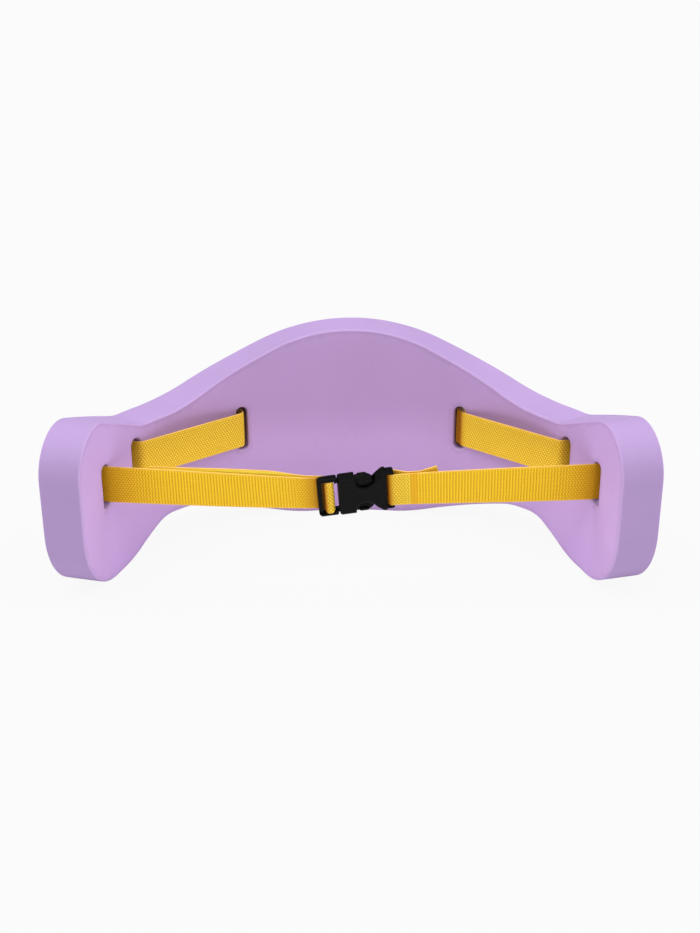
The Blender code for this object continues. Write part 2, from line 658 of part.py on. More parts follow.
def make_plug(group, cutters, surface, parent):
    base_half = CAVITY_HALF_WIDTH - FIT_GAP - FIT_GAP / 3
    half = [(PLUG_END, PLUG_HALF_WIDTH - 2 * PLUG_ROUND),
            (PLUG_END + PLUG_ROUND, PLUG_HALF_WIDTH - PLUG_ROUND / 2),
            (PLUG_END + 2 * PLUG_ROUND, PLUG_HALF_WIDTH),
            (PLUG_RAIL_END, PLUG_HALF_WIDTH),
            (PLUG_RAIL_END + PLUG_ROUND, PLUG_HALF_WIDTH - PLUG_ROUND / 2),
            (SOCKET_MOUTH_PLACE - 2 * FIT_GAP, base_half),
            (PLUG_BASE_END, base_half)]
    mesh = outline_mesh("buckle_plug", list(reversed(both_sides(half))), PLUG_HALF_THICKNESS, PLUG_ROUND)
    plug = add_object("buckle_plug", mesh, group, surface)
    plug.parent = parent
    window_half = STRAP_WIDTH / 2 + LAYER_GAP
    through = PLUG_HALF_THICKNESS + CUT_OVERRUN
    bar_edge = PLUG_END + PLUG_END_BAR_WIDTH
    window_high = (PLUG_WINDOW_STEP, window_half, through)
    window = box_mesh("plug_window", (bar_edge, -window_half, -through), window_high)
    cut(plug, helper("plug_window", window, cutters, parent))
    narrow = box_mesh("plug_window_step", (PLUG_CROSSBAR_PLACE, -PLUG_WINDOW_STEP_HALF_WIDTH, -through),
                      (PLUG_BASE_START, PLUG_WINDOW_STEP_HALF_WIDTH, through))
    cut(plug, helper("plug_window_step", narrow, cutters, parent))
    for side in (-1, 1):
        faces = sorted((side * PLUG_END_BAR_HALF_THICKNESS, side * through))
        top = window_half + (STRAP_JOIN_RISE if side < 0 else 0)
        step = box_mesh("bar_step", (PLUG_END - CUT_OVERRUN, -window_half, faces[0]),
                        (bar_edge + FIT_GAP, top, faces[1]))
        cut(plug, helper(f"end_bar_step_{'back' if side < 0 else 'front'}", step, cutters, parent))
    bar = bar_mesh("plug_crossbar", PLUG_CROSSBAR_PLACE, window_half + BAR_RADIUS)
    cut(plug, helper("plug_crossbar", bar, cutters, parent), "UNION")
    tongue_low = (PLUG_BASE_START + PLUG_ROUND, -TONGUE_HALF_WIDTH, -TONGUE_HALF_THICKNESS)
    tongue = box_mesh("plug_tongue", tongue_low, (TONGUE_END, TONGUE_HALF_WIDTH, TONGUE_HALF_THICKNESS))
    cut(plug, helper("plug_tongue", tongue, cutters, parent), "UNION")
    return plug


def make_arm(side, group, cutters, surface, parent):
    """One latch arm, drawn from its hinge; side is 1 for the upper arm and -1 for the lower."""
    label = "upper" if side > 0 else "lower"
    root = PLUG_BASE_END + FIT_GAP
    shoulder = SOCKET_NOTCH_START + FIT_GAP - root
    tip = shoulder + ARM_GRIP_LENGTH
    grip = ARM_GRIP_HALF_WIDTH - ARM_ROOT_PLACE
    inner = ARM_GRIP_INNER - ARM_ROOT_PLACE
    ease = 2 * FIT_GAP
    # Grip outline as shares of its length, and of its reach out from the arm's root line
    grip_shares = ((0.00, 0.90), (0.11, 0.96), (0.55, 1.00), (0.82, 0.84), (1.00, 0.50))
    outer = [(shoulder + a * ARM_GRIP_LENGTH, b * grip) for a, b in grip_shares]
    points = [(ease, -ARM_ROOT_HALF_WIDTH), (0, -ARM_ROOT_HALF_WIDTH + ease), (0, ARM_ROOT_HALF_WIDTH - ease),
              (ease, ARM_ROOT_HALF_WIDTH), (shoulder - ARM_SHOULDER, ARM_ROOT_HALF_WIDTH + ARM_SHOULDER / 2),
              (shoulder, grip - ARM_SHOULDER - ease), *outer, (tip, ARM_ROOT_HALF_WIDTH),
              (tip - ARM_SHOULDER, inner + ease), (shoulder + ARM_SHOULDER, inner), (shoulder, inner + ease)]
    points = [(u, side * v) for u, v in points]
    if side > 0:
        points.reverse()
    name = f"latch_arm_{label}"
    arm = add_object(name, outline_mesh(name, points, PLUG_HALF_THICKNESS, PLUG_ROUND / 2), group, surface)
    arm.parent = parent
    arm.location = (root, side * ARM_ROOT_PLACE, 0)
    pad_start = shoulder + PAD_SETBACK
    low = PAD_INNER - ARM_ROOT_PLACE
    high = grip - 2 * FIT_GAP
    pad_points = [(pad_start, low), (pad_start + PAD_LENGTH, low), (pad_start + PAD_LENGTH, high - ease),
                  (pad_start + PAD_LENGTH - ease, high), (pad_start + ease, high), (pad_start, high - ease)]
    pad_points = [(u, side * v) for u, v in pad_points]
    if side < 0:
        pad_points.reverse()
    pad = outline_mesh(f"{name}_pad", pad_points, PAD_HALF_THICKNESS, PLUG_ROUND / 2)
    block = helper(f"{name}_pad", pad, cutters, parent)
    block.location = arm.location
    cut(arm, block, "UNION")
    return arm


def main():
    clear_scene()
    parts = new_collection("kids_swim_belt")
    cutters = new_collection("cutters")
    foam = material("foam", (0.50, 0.32, 0.66), 0.85)
    webbing = material("webbing", (0.86, 0.50, 0.05), 0.80)
    plastic = material("buckle_plastic", (0.012, 0.012, 0.013), 0.45)
    make_foam(parts, cutters, foam)
    make_straps(parts, webbing)
    frame = bpy.data.objects.new("buckle_frame", None)
    parts.objects.link(frame)
    frame.matrix_world = buckle_matrix()
    make_socket(parts, cutters, plastic, frame)
    make_plug(parts, cutters, plastic, frame)
    make_arm(1, parts, cutters, plastic, frame)
    make_arm(-1, parts, cutters, plastic, frame)


main()
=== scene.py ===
"""Looks of a kids' swim belt: a bent foam slab, laced webbing and a side-release buckle on the frame."""

import json
import math

import bmesh
import bpy
import numpy as np
from mathutils import Matrix, Vector, geometry

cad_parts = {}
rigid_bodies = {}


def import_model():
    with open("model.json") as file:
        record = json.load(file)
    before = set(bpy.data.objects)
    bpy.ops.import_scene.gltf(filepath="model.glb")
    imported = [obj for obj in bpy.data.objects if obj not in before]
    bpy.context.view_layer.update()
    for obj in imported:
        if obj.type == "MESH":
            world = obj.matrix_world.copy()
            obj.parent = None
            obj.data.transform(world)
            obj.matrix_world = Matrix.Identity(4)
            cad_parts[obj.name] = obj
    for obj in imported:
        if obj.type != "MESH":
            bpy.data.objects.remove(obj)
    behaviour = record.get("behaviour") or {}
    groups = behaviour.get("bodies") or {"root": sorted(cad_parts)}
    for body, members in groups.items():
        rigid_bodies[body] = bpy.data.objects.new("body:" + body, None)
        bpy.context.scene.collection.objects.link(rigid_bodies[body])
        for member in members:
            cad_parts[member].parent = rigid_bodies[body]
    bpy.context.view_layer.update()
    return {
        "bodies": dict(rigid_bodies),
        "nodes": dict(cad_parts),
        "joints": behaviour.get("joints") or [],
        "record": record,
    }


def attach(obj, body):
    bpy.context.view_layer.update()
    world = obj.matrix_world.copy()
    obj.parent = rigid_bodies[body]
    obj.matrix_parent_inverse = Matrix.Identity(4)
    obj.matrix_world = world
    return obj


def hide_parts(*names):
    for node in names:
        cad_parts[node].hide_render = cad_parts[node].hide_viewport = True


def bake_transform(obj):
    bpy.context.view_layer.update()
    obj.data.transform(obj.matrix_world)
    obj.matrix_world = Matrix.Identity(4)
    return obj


# Foam slab, as in the CAD: along its middle surface (s), through it (w) and up from the slot line (z)
FOAM_THICKNESS = 0.0272
FOAM_HALF_LENGTH = 0.256
BACK_BEND_RADIUS = 0.235
BACK_BEND_LENGTH = 0.080
SIDE_BEND_RADIUS = 0.140
SIDE_BEND_LENGTH = 0.137
BACK_SETBACK = 0.0674
SLOT_LINE_Z = 0.0690

# Foam outline
CENTRE_PEAK_HEIGHT = 0.0810
CENTRE_PEAK_RADIUS = 0.146
WAIST_TOP_HEIGHT = 0.023
WAIST_TOP_START = 0.130
WAIST_TOP_END = 0.1675
WAIST_TOP_IN_RADIUS = 0.092
WAIST_TOP_OUT_RADIUS = 0.025
END_TOP_HEIGHT = 0.0570
END_TOP_RADIUS = 0.0300
END_BASE_RADIUS = 0.047
END_BASE_START = 0.1870
END_BASE_IN_RADIUS = 0.055
WAIST_BASE_DEPTH = 0.0491
WAIST_BASE_END = 0.1495
WAIST_BASE_OUT_RADIUS = 0.032
WAIST_BASE_START = 0.125
WAIST_BASE_IN_RADIUS = 0.060
CENTRE_BASE_HALF_LENGTH = 0.042
CENTRE_BASE_RADIUS = 0.110

# Slots
SLOT_INNER_PLACE = 0.0808
SLOT_MIDDLE_PLACE = 0.1755
SLOT_OUTER_PLACE = 0.2175
SLOT_WIDTH = 0.010
INNER_SLOT_WIDTH = 0.0085
INNER_SLOT_CORNER = 0.0040
SLOT_END_CLEARANCE = 0.003
SLOT_CORNER = 0.0045
OUTER_SLOT_END_CLEARANCE = 0.0018
OUTER_SLOT_CORNER = 0.0030
OUTER_DROP_LEFT = 0.0022
OUTER_DROP_RIGHT = 0.00135

# Foam surface detail
OUTLINE_STEP = 0.0018
SLOT_STEP = 0.0008
EDGE_ROUND = 0.0014
SLOT_ROUND = 0.0017
ROUND_RINGS = 6
WALL_RINGS = 12
FACE_STEP = 0.0030
FACE_CLEARANCE = 0.0012
CURVE_STEPS = 48
SAME_SPOT = 0.0000001
NORMAL_NUDGE = 0.00001
LONG_WAVE_DEPTH = 0.00016
LONG_WAVE_RATES = (41, 28)
LONG_WAVE_PHASES = (1.3, 0.4)
SHORT_WAVE_DEPTH = 0.00010
SHORT_WAVE_RATES = (97, -23)
SHORT_WAVE_PHASE = 2.1
# Each crease's place along the slab, width, depth and height on the right side
CREASES = ((0.1490, 0.0050, 0.00022, 0.010),
           (0.1600, 0.0035, 0.00018, -0.004),
           (0.2015, 0.0045, 0.00020, 0.022),
           (0.2360, 0.0050, 0.00016, -0.018))
CREASE_SLANT = 0.05
CREASE_REACH = 0.030

# Webbing, as in the CAD but for where it crosses the right inner slot
STRAP_WIDTH = 0.025
STRAP_THICKNESS = 0.0015
STRAP_BEND_RADIUS = 0.004
STRAP_LAYING_GAP = 0.00035
STRAP_STEP = 0.009
STRAP_BOW = 0.0005
LAYER_GAP = 0.00035
SOCKET_TAKE_UP = 0.012
PLUG_TAKE_UP = 0.006
INNER_CROSSING = 0.0055
INNER_CROSSING_RADIUS = 0.0016
INNER_STAND_OFF = 0.0019
SLOT_WALL_OFFSET = 0.0036415

# Buckle frame and the places on it that the webbing needs, as in the CAD
BUCKLE_SIDE_OFFSET = 0.0030
BUCKLE_FRONT = 0.124
BUCKLE_SAG = 0.002
BUCKLE_ROLL = math.radians(4.9)
BUCKLE_LEAN = math.radians(14.5)
BUCKLE_YAW = math.radians(6.6)
BAR_RADIUS = 0.0015
SOCKET_BAR_PLACE = 0.0225
PLUG_END = -0.0240
PLUG_END_BAR_WIDTH = 0.0026
PLUG_END_BAR_HALF_THICKNESS = 0.0013
PLUG_CROSSBAR_PLACE = -0.0169
STRAP_JOIN_CLEARANCE = 0.0020
PLUG_TAIL_LENGTH = 0.105
STRAP_JOIN_RISE = 0.0018
PLUG_TAIL_STAND_OFF = 0.0019
PLUG_TAIL_RISE = 0.0026
PLUG_TAIL_EASE = 0.030
PLUG_TAIL_SINK = 0.0018
TACK_START = 0.0115
TACK_END = 0.0160
SOCKET_TAIL_LENGTH = 0.0325
TAIL_TURN = math.radians(12.0)
TAIL_STAND_OFF = math.radians(7.0)
TAIL_TURN_LENGTH = 0.0080
TURN_STEPS = 24
ROUTE_STEPS = 12
FINE_STEP = 0.0005

# Weave of the webbing: ribs across it, cut into columns along it
WEAVE_PITCH = 0.0019
WEAVE_COLUMNS = 15
COLUMN_SAMPLES = 4
WEAVE_SAMPLES = 4
WEAVE_DEPTH = 0.00030
SWELL_POWER = 0.6
RIB_POWER = 1.4
RIB_FLOOR = 0.10
RIB_ZIGZAG = 0.25
TWILL_ZIGZAG = 2.0
RIB_GROOVE = 0.20
TWILL_GROOVE = 0.70
DIAMOND_GAIN = 2
SEAM_DEPTH = 0.008

# Edges of the webbing. Each point of the selvage's profile has a share of its width, one of half its
# thickness and one of its cord
SELVAGE = 0.0009
SELVAGE_PROFILE = ((0.26, 0.92, 1), (0.58, 0.98, 0), (0.86, 0.62, 1))
CORD_DEPTH = 0.00004
EDGE_REACH = 0.0030
EDGE_DROP = 0.00032

# Shade, its reach and the diamonds' reach in the webbing round each place that bends or holds it
KNOT_CROSSING = (3.0, 0.0036, 0.0100)
KNOT_INNER = (1.1, 0.0090, 0.0100)
KNOT_MIDDLE = (1.1, 0.0090, 0.0100)
KNOT_OUTER_LEFT = (0.85, 0.0200, 0.0260)
KNOT_OUTER_RIGHT = (1.7, 0.0180, 0.0260)
KNOT_END_BAR = (0.9, 0.0050, 0.0100)
KNOT_LOOP = (4.5, 0.0022, 0.0100)
KNOT_RECESS = (4.0, 0.0026, 0.0100)
RECESS_SHADE_BEFORE = 0.0042
KNOT_BAR = (2.6, 0.0026, 0.0120)
BAR_SHADE_AHEAD = 0.0030
# Rows past the plug's loop that are paler with painted highlight
LOOP_HIGHLIGHT = 0.0090

# Camera, fitted to the photograph
VIEW_DROP = math.radians(24.5)
VIEW_ROLL = math.radians(-0.17)
VIEW_DISTANCE = 1.0048
VIEW_AIM = (-0.00066, 0.0674, 0.02817)
LENS = 72
SENSOR = 36
NEAR_CLIP = 0.01

# Light
WORLD_LEVEL = 0.04
LAMP_SPREAD = math.radians(62)
# Each lamp's level, compass side round the object (0 is the camera's, positive to the right) and height
LAMPS = (("lamp_left", 0.90, math.radians(-90), math.radians(60)),
         ("lamp_right_high", 0.48, math.radians(90), math.radians(60)),
         ("lamp_right_low", 0.33, math.radians(90), math.radians(30)),
         ("lamp_front", 0.20, math.radians(0), math.radians(45)))
BACKDROP = (0.956, 0.956, 0.956)
FLOOR_REACH = 12.0
FLOOR_COLOUR = (0.86, 0.86, 0.86)
FLOOR_GLOW = (0.954, 0.954, 0.954)
FLOOR_SHARE = 0.97

# Colours
FOAM_COLOUR = (0.540, 0.355, 0.685)
# The sides' colour is the foam colour darkened: painted shade on the slab's sides and slot walls
FOAM_SIDE_SHADE_COLOUR = (0.402, 0.275, 0.527)
# The rounded edges are lightened towards this colour: painted highlight
FOAM_EDGE_HIGHLIGHT_COLOUR = (0.560, 0.410, 0.700)
FOAM_EDGE_HIGHLIGHT_SHARE = 0.15
FOAM_CLOUD_FACTORS = (0.975, 1.02)
FOAM_CELL_FACTOR = 0.90
FOAM_CELL_SHARE = 0.35
FOAM_SLOT_FACTOR = 0.80
FOAM_SLOT_SHARE = 0.6
WEBBING_TOP = (1.000, 0.665, 0.026)
# The groove colour is painted shade in the weave's grooves
WEBBING_GROOVE_SHADE = (0.620, 0.245, 0.004)
# Paler colour for the whole inner face and the highlighted rows: painted light and painted highlight
WEBBING_PAINTED_LIGHT = (1.000, 0.800, 0.080)
# Painted shade near slots and bars, and deeper painted shade in the plug's recess and loop
WEBBING_SHADE = (0.420, 0.105, 0.003)
WEBBING_DEEP_SHADE = (0.030, 0.010, 0.003)
SELVAGE_COLOUR = (0.900, 0.550, 0.110)
TACK_COLOUR = (0.800, 0.370, 0.012)
TACK_SHARE = 0.55
# Heights of the weave over which the painted groove shade fades out
GROOVE_SHADE_HEIGHTS = (0.05, 0.85)
FULL_SHADE = 2
FULL_DEEP_SHADE = 4
FIBRE_FACTOR = 0.75
FIBRE_SHARE = 0.25
PLASTIC_COLOUR = (0.0032, 0.0032, 0.0034)
PLASTIC_CLOUD_FACTOR = 1.25

# Surfaces: each noise with its scale and detail, the part of it that counts, roughness, shine and bumps
CLOUD_NOISE = (22, 3)
CLOUD_PART = (0.35, 0.65)
CELL_NOISE = (1500, 2)
CELL_PART = (0.3, 0.7)
SKIN_NOISE = (300, 3)
FOAM_ROUGHNESS = (0.66, 0.76)
FOAM_SHINE = 0.35
CELL_BUMP = (0.12, 0.0004)
SKIN_BUMP = (0.10, 0.0010)
FIBRE_NOISE = (1800, 3)
FIBRE_PART = (0.35, 0.70)
WEBBING_ROUGHNESS = 0.50
WEBBING_SHINE = 0.10
FIBRE_BUMP = (0.25, 0.0002)
PLASTIC_CLOUD_NOISE = (160, 3)
PLASTIC_CLOUD_PART = (0.4, 0.6)
GRAIN_NOISE = (2600, 2)
GRAIN_PART = (0.3, 0.7)
PLASTIC_ROUGHNESS = (0.34, 0.44)
PLASTIC_SHINE = 0.055
GRAIN_BUMP = (0.08, 0.0002)
FLOOR_ROUGHNESS = 0.9
FLOOR_SHINE = 0.1

UP = Vector((0, 0, 1))
LOOP_RADIUS = BAR_RADIUS + LAYER_GAP + STRAP_THICKNESS / 2
LAYER_PITCH = STRAP_THICKNESS + LAYER_GAP
LAY_OFFSET = FOAM_THICKNESS / 2 + STRAP_LAYING_GAP + STRAP_THICKNESS / 2
UNDER_BAR = PLUG_END_BAR_HALF_THICKNESS + LAYER_GAP + STRAP_THICKNESS / 2


def bend(s):
    """Middle surface of the slab in plan, for an array of places: x, y and the turn."""
    reach = np.abs(s)
    side = np.where(s >= 0, 1.0, -1.0)
    back = np.minimum(reach, BACK_BEND_LENGTH) / BACK_BEND_RADIUS
    turn = back + np.clip(reach - BACK_BEND_LENGTH, 0, SIDE_BEND_LENGTH) / SIDE_BEND_RADIUS
    straight = np.maximum(reach - BACK_BEND_LENGTH - SIDE_BEND_LENGTH, 0)
    x = BACK_BEND_RADIUS * np.sin(back) + SIDE_BEND_RADIUS * (np.sin(turn) - np.sin(back))
    y = BACK_BEND_RADIUS * (np.cos(back) - 1) + SIDE_BEND_RADIUS * (np.cos(turn) - np.cos(back))
    return side * (x + straight * np.cos(turn)), BACK_SETBACK + y - straight * np.sin(turn), side * turn


def wall(s, w):
    """Plan point at a place along the slab and a distance outwards from its middle surface."""
    x, y, turn = bend(np.asarray(s, dtype=float))
    return Vector((float(x + w * np.sin(turn)), float(y + w * np.cos(turn))))


def slot_point(place, across, w):
    """Plan point in a slot cut straight through the slab: a distance across it and one outwards."""
    x, y, turn = (float(value) for value in bend(np.asarray(place, dtype=float)))
    along = Vector((math.cos(turn), -math.sin(turn)))
    out = Vector((math.sin(turn), math.cos(turn)))
    return Vector((x, y)) + along * across + out * w


def rounded(corners, steps):
    """A path of (point, radius) corners as points, each radius drawn as an arc."""
    points = [corners[0][0].copy()]
    for before, (corner, radius), after in zip(corners, corners[1:], corners[2:]):
        if not radius:
            points.append(corner.copy())
            continue
        back = (before[0] - corner).normalized()
        ahead = (after[0] - corner).normalized()
        half = math.acos(max(-1, min(1, back.dot(ahead)))) / 2
        reach = radius / math.tan(half)
        centre = corner + (back + ahead).normalized() * radius / math.sin(half)
        start = corner + back * reach - centre
        end = corner + ahead * reach - centre
        sweep = math.pi - 2 * half
        for step in range(steps + 1):
            share = step / steps
            mix = start * math.sin((1 - share) * sweep) + end * math.sin(share * sweep)
            points.append(centre + mix / math.sin(sweep))
    points.append(corners[-1][0].copy())
    return points


def mirrored(corners):
    """Corners of the right half, with the left half's before them."""
    left = [(Vector((-corner.x, corner.y)), radius) for corner, radius in reversed(corners) if corner.x > 0]
    return left + corners


def outer_drop(side):
    """How far the outer slot of one side, and the webbing in it, sits below the slot line."""
    return OUTER_DROP_LEFT if side < 0 else OUTER_DROP_RIGHT


def smooth(share):
    """A share from 0 to 1, eased at both ends."""
    share = max(0, min(1, share))
    return share * share * (3 - 2 * share)


# Foam

def foam_loop():
    """The slab's outline as one closed run of points, from the right end's middle over the top."""
    top = [(Vector((0, CENTRE_PEAK_HEIGHT)), CENTRE_PEAK_RADIUS),
           (Vector((WAIST_TOP_START, WAIST_TOP_HEIGHT)), WAIST_TOP_IN_RADIUS),
           (Vector((WAIST_TOP_END, WAIST_TOP_HEIGHT)), WAIST_TOP_OUT_RADIUS),
           (Vector((FOAM_HALF_LENGTH, END_TOP_HEIGHT)), END_TOP_RADIUS),
           (Vector((FOAM_HALF_LENGTH, 0)), 0)]
    base = [(Vector((CENTRE_BASE_HALF_LENGTH, -SLOT_LINE_Z)), CENTRE_BASE_RADIUS),
            (Vector((WAIST_BASE_START, -WAIST_BASE_DEPTH)), WAIST_BASE_IN_RADIUS),
            (Vector((WAIST_BASE_END, -WAIST_BASE_DEPTH)), WAIST_BASE_OUT_RADIUS),
            (Vector((END_BASE_START, -SLOT_LINE_Z)), END_BASE_IN_RADIUS),
            (Vector((FOAM_HALF_LENGTH, -SLOT_LINE_Z)), END_BASE_RADIUS),
            (Vector((FOAM_HALF_LENGTH, 0)), 0)]
    over = rounded(mirrored(top), CURVE_STEPS)
    under = rounded(mirrored(base), CURVE_STEPS)
    return even_loop(list(reversed(over))[:-1] + under[:-1], OUTLINE_STEP)


def slot_loop(place, width, clearance, radius, drop):
    """One slot's outline as a closed run of points."""
    half_width = width / 2
    half_height = STRAP_WIDTH / 2 + clearance
    corners = [(Vector((half_width, 0)), 0), (Vector((half_width, half_height)), radius),
               (Vector((-half_width, half_height)), radius),
               (Vector((-half_width, -half_height)), radius),
               (Vector((half_width, -half_height)), radius), (Vector((half_width, 0)), 0)]
    points = rounded(corners, CURVE_STEPS)[:-1]
    return even_loop(points, SLOT_STEP) + np.array((place, -drop))


def even_loop(points, step):
    """A closed run of points, set an even distance apart."""
    closed = np.array([tuple(point) for point in points] + [tuple(points[0])])
    spans = np.linalg.norm(np.diff(closed, axis=0), axis=1)
    marks = np.concatenate(([0], np.cumsum(spans)))
    count = math.ceil(marks[-1] / step)
    goals = np.arange(count) * marks[-1] / count
    return np.column_stack([np.interp(goals, marks, closed[:, axis]) for axis in (0, 1)])


def outward(loop):
    """Unit normals of a closed counter-clockwise loop, away from what it holds."""
    ahead = np.roll(loop, -1, axis=0) - np.roll(loop, 1, axis=0)
    ahead /= np.linalg.norm(ahead, axis=1)[:, None]
    return np.column_stack((ahead[:, 1], -ahead[:, 0]))


def dents(s, z, w):
    """How far the surface strays from the plain slab: waves in both faces, creases in the inner one."""
    inner = 0.5 - w / FOAM_THICKNESS
    wave = LONG_WAVE_DEPTH * np.sin(LONG_WAVE_RATES[0] * s + LONG_WAVE_PHASES[0])
    wave = wave * np.cos(LONG_WAVE_RATES[1] * z + LONG_WAVE_PHASES[1])
    wave += SHORT_WAVE_DEPTH * np.sin(SHORT_WAVE_RATES[0] * s + SHORT_WAVE_RATES[1] * z + SHORT_WAVE_PHASE)
    crease = np.zeros_like(s)
    for place, width, depth, height in CREASES:
        for side in (-1, 1):
            near = np.exp(-((s - side * place - CREASE_SLANT * side * z) / width) ** 2)
            crease += near * depth * np.exp(-((z - height * side) / CREASE_REACH) ** 2)
    return wave * (1 - 2 * inner) - crease * inner


def shaped(flat):
    """Flat points (s, z, w) bent into place."""
    s, z, w = flat.T
    moved = w + dents(s, z, w)
    x, y, turn = bend(s)
    return np.column_stack((x + moved * np.sin(turn), y + moved * np.cos(turn), z + SLOT_LINE_Z))


def shaped_normals(flat, normals):
    """Normals carried through the bend, from how the surface's own directions turn there."""
    ways = []
    for axis in range(3):
        nudge = np.zeros(3)
        nudge[axis] = NORMAL_NUDGE
        ways.append((shaped(flat + nudge) - shaped(flat - nudge)) / (2 * NORMAL_NUDGE))
    carried = (normals[:, :1] * np.cross(ways[1], ways[2]) + normals[:, 1:2] * np.cross(ways[2], ways[0])
               + normals[:, 2:] * np.cross(ways[0], ways[1]))
    return -carried / np.linalg.norm(carried, axis=1)[:, None]


def rim_rings(loop, rounding, sign):
    """Rings round one outline, face to face: flat points, normals, edge shares for the painted highlight on
    its roundings, and side shares for the painted shade on the slab's sides.
    """
    away = outward(loop) * sign
    rings = []
    half = FOAM_THICKNESS / 2
    angles = [math.pi / 2 * step / ROUND_RINGS for step in range(ROUND_RINGS + 1)]
    profile = [(rounding * (1 - math.sin(angle)), half - rounding * (1 - math.cos(angle)), angle)
               for angle in angles]
    depth = half - rounding
    profile += [(0, depth - 2 * depth * step / WALL_RINGS, math.pi / 2) for step in range(1, WALL_RINGS)]
    profile += [(inset, -w, math.pi - angle) for inset, w, angle in reversed(profile[:ROUND_RINGS + 1])]
    for inset, w, angle in profile:
        points = np.column_stack((loop - away * inset, np.full(len(loop), w)))
        normals = np.column_stack((away * math.sin(angle), np.full(len(loop), math.cos(angle))))
        # The edge share lightens the roundings: painted highlight
        edge = abs(math.sin(2 * angle)) if abs(w) > depth else 0
        # Side shares mark the slab's sides for painted shade, and edge shares its roundings for painted
        # highlight
        rings.append((points, normals, np.full(len(loop), edge if inset < rounding else -1),
                      np.full(len(loop), math.sin(angle) ** 2)))
    return rings


def face_fill(loops):
    """A flat face between the outline and the slots, filled with an even grid: points and triangles."""
    points = [tuple(point) for loop in loops for point in loop]
    edges = []
    first = 0
    for loop in loops:
        edges += [(first + step, first + (step + 1) % len(loop)) for step in range(len(loop))]
        first += len(loop)
    border = np.array(points)
    columns = np.arange(-FOAM_HALF_LENGTH, FOAM_HALF_LENGTH, FACE_STEP)
    rows = np.arange(-SLOT_LINE_Z, CENTRE_PEAK_HEIGHT, FACE_STEP)
    for index, column in enumerate(columns):
        for row in rows:
            spot = np.array((column, row + (index % 2) * FACE_STEP / 2))
            if not inside(spot, loops[0]) or any(inside(spot, loop) for loop in loops[1:]):
                continue
            if np.min(np.sum((border - spot) ** 2, axis=1)) > FACE_CLEARANCE ** 2:
                points.append(tuple(spot))
    made = geometry.delaunay_2d_cdt([Vector(point) for point in points], edges, [], 0, SAME_SPOT)
    spots, _, faces, origins, *_ = made
    where = [origin[0] for origin in origins]
    kept = []
    for face in faces:
        middle = sum((np.array(spots[corner]) for corner in face), np.zeros(2)) / len(face)
        if inside(middle, loops[0]) and not any(inside(middle, loop) for loop in loops[1:]):
            kept.append([where[corner] for corner in face])
    return np.array(points), kept


def inside(spot, loop):
    """Whether a point lies inside a closed loop."""
    low = loop
    high = np.roll(loop, -1, axis=0)
    spans = (low[:, 1] > spot[1]) != (high[:, 1] > spot[1])
    low = low[spans]
    high = high[spans]
    reach = low[:, 0] + (spot[1] - low[:, 1]) / (high[:, 1] - low[:, 1]) * (high[:, 0] - low[:, 0])
    return np.count_nonzero(reach > spot[0]) % 2 == 1


def foam_rims():
    """Rings round the slab's outline and round each of its slots."""
    rims = [rim_rings(foam_loop(), EDGE_ROUND, 1)]
    for side in (-1, 1):
        drop = outer_drop(side)
        slots = ((SLOT_INNER_PLACE, INNER_SLOT_WIDTH, SLOT_END_CLEARANCE, INNER_SLOT_CORNER, 0),
                 (SLOT_MIDDLE_PLACE, SLOT_WIDTH, SLOT_END_CLEARANCE, SLOT_CORNER, 0),
                 (SLOT_OUTER_PLACE, SLOT_WIDTH, OUTER_SLOT_END_CLEARANCE, OUTER_SLOT_CORNER, drop))
        for place, *sizes in slots:
            rims.append(rim_rings(slot_loop(side * place, *sizes), SLOT_ROUND, -1))
    return rims


def ring_faces(first, count, rows, turned):
    """Faces between rings of points, of which the first ring starts at one index."""
    faces = []
    for row in range(rows - 1):
        for step in range(count):
            a = first + row * count + step
            b = first + row * count + (step + 1) % count
            quad = [a, b, b + count, a + count]
            faces.append(quad[::-1] if turned else quad)
    return faces


def foam_surface():
    """The whole slab: flat points, normals, edge shares for the painted highlight, side shares for the
    painted shade and faces.
    """
    rims = foam_rims()
    parts = []
    faces = []
    starts = []
    total = 0
    for index, rings in enumerate(rims):
        count = len(rings[0][0])
        starts.append((total, total + count * (len(rings) - 1)))
        parts += rings
        faces += ring_faces(total, count, len(rings), index > 0)
        total += count * len(rings)
    for side, which in ((1, 0), (-1, 1)):
        loops = [rings[0 if side > 0 else -1][0][:, :2] for rings in rims]
        points, fill = face_fill(loops)
        lookup = []
        for rings, start in zip(rims, starts):
            lookup += [start[which] + step for step in range(len(rings[0][0]))]
        fresh = points[len(lookup):]
        lookup += [total + step for step in range(len(fresh))]
        total += len(fresh)
        parts.append((np.column_stack((fresh, np.full(len(fresh), side * FOAM_THICKNESS / 2))),
                      np.tile((0, 0, side), (len(fresh), 1)), np.zeros(len(fresh)), np.zeros(len(fresh))))
        for face in fill:
            corners = [lookup[corner] for corner in face]
            faces.append(corners[::-1] if side > 0 else corners)
    return (*(np.concatenate(column) for column in zip(*parts)), faces)


def new_object(name, points, faces, marks, surface):
    """A smooth mesh object with its material and a named value for each point."""
    mesh = bpy.data.meshes.new(name)
    mesh.from_pydata(points.tolist(), [], faces)
    mesh.shade_smooth()
    for mark_name, values in marks.items():
        made = mesh.attributes.new(mark_name, "FLOAT", "POINT")
        made.data.foreach_set("value", values.astype(float).reshape(-1))
    mesh.materials.append(surface)
    item = bpy.data.objects.new(name, mesh)
    bpy.context.scene.collection.objects.link(item)
    return item


def make_foam(surface):
    """The foam slab, for the CAD's one."""
    flat, normals, edge, side_shade_share, faces = foam_surface()
    # The side shares darken the slab's sides with painted shade, and the edge shares lighten its rounded
    # edges with painted highlight
    foam = new_object("foam_slab", shaped(flat), faces, {"edge": edge, "side_shade": side_shade_share}, surface)
    foam.data.normals_split_custom_set_from_vertices(shaped_normals(flat, normals).tolist())
    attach(foam, "belt")
    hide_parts("foam_belt")


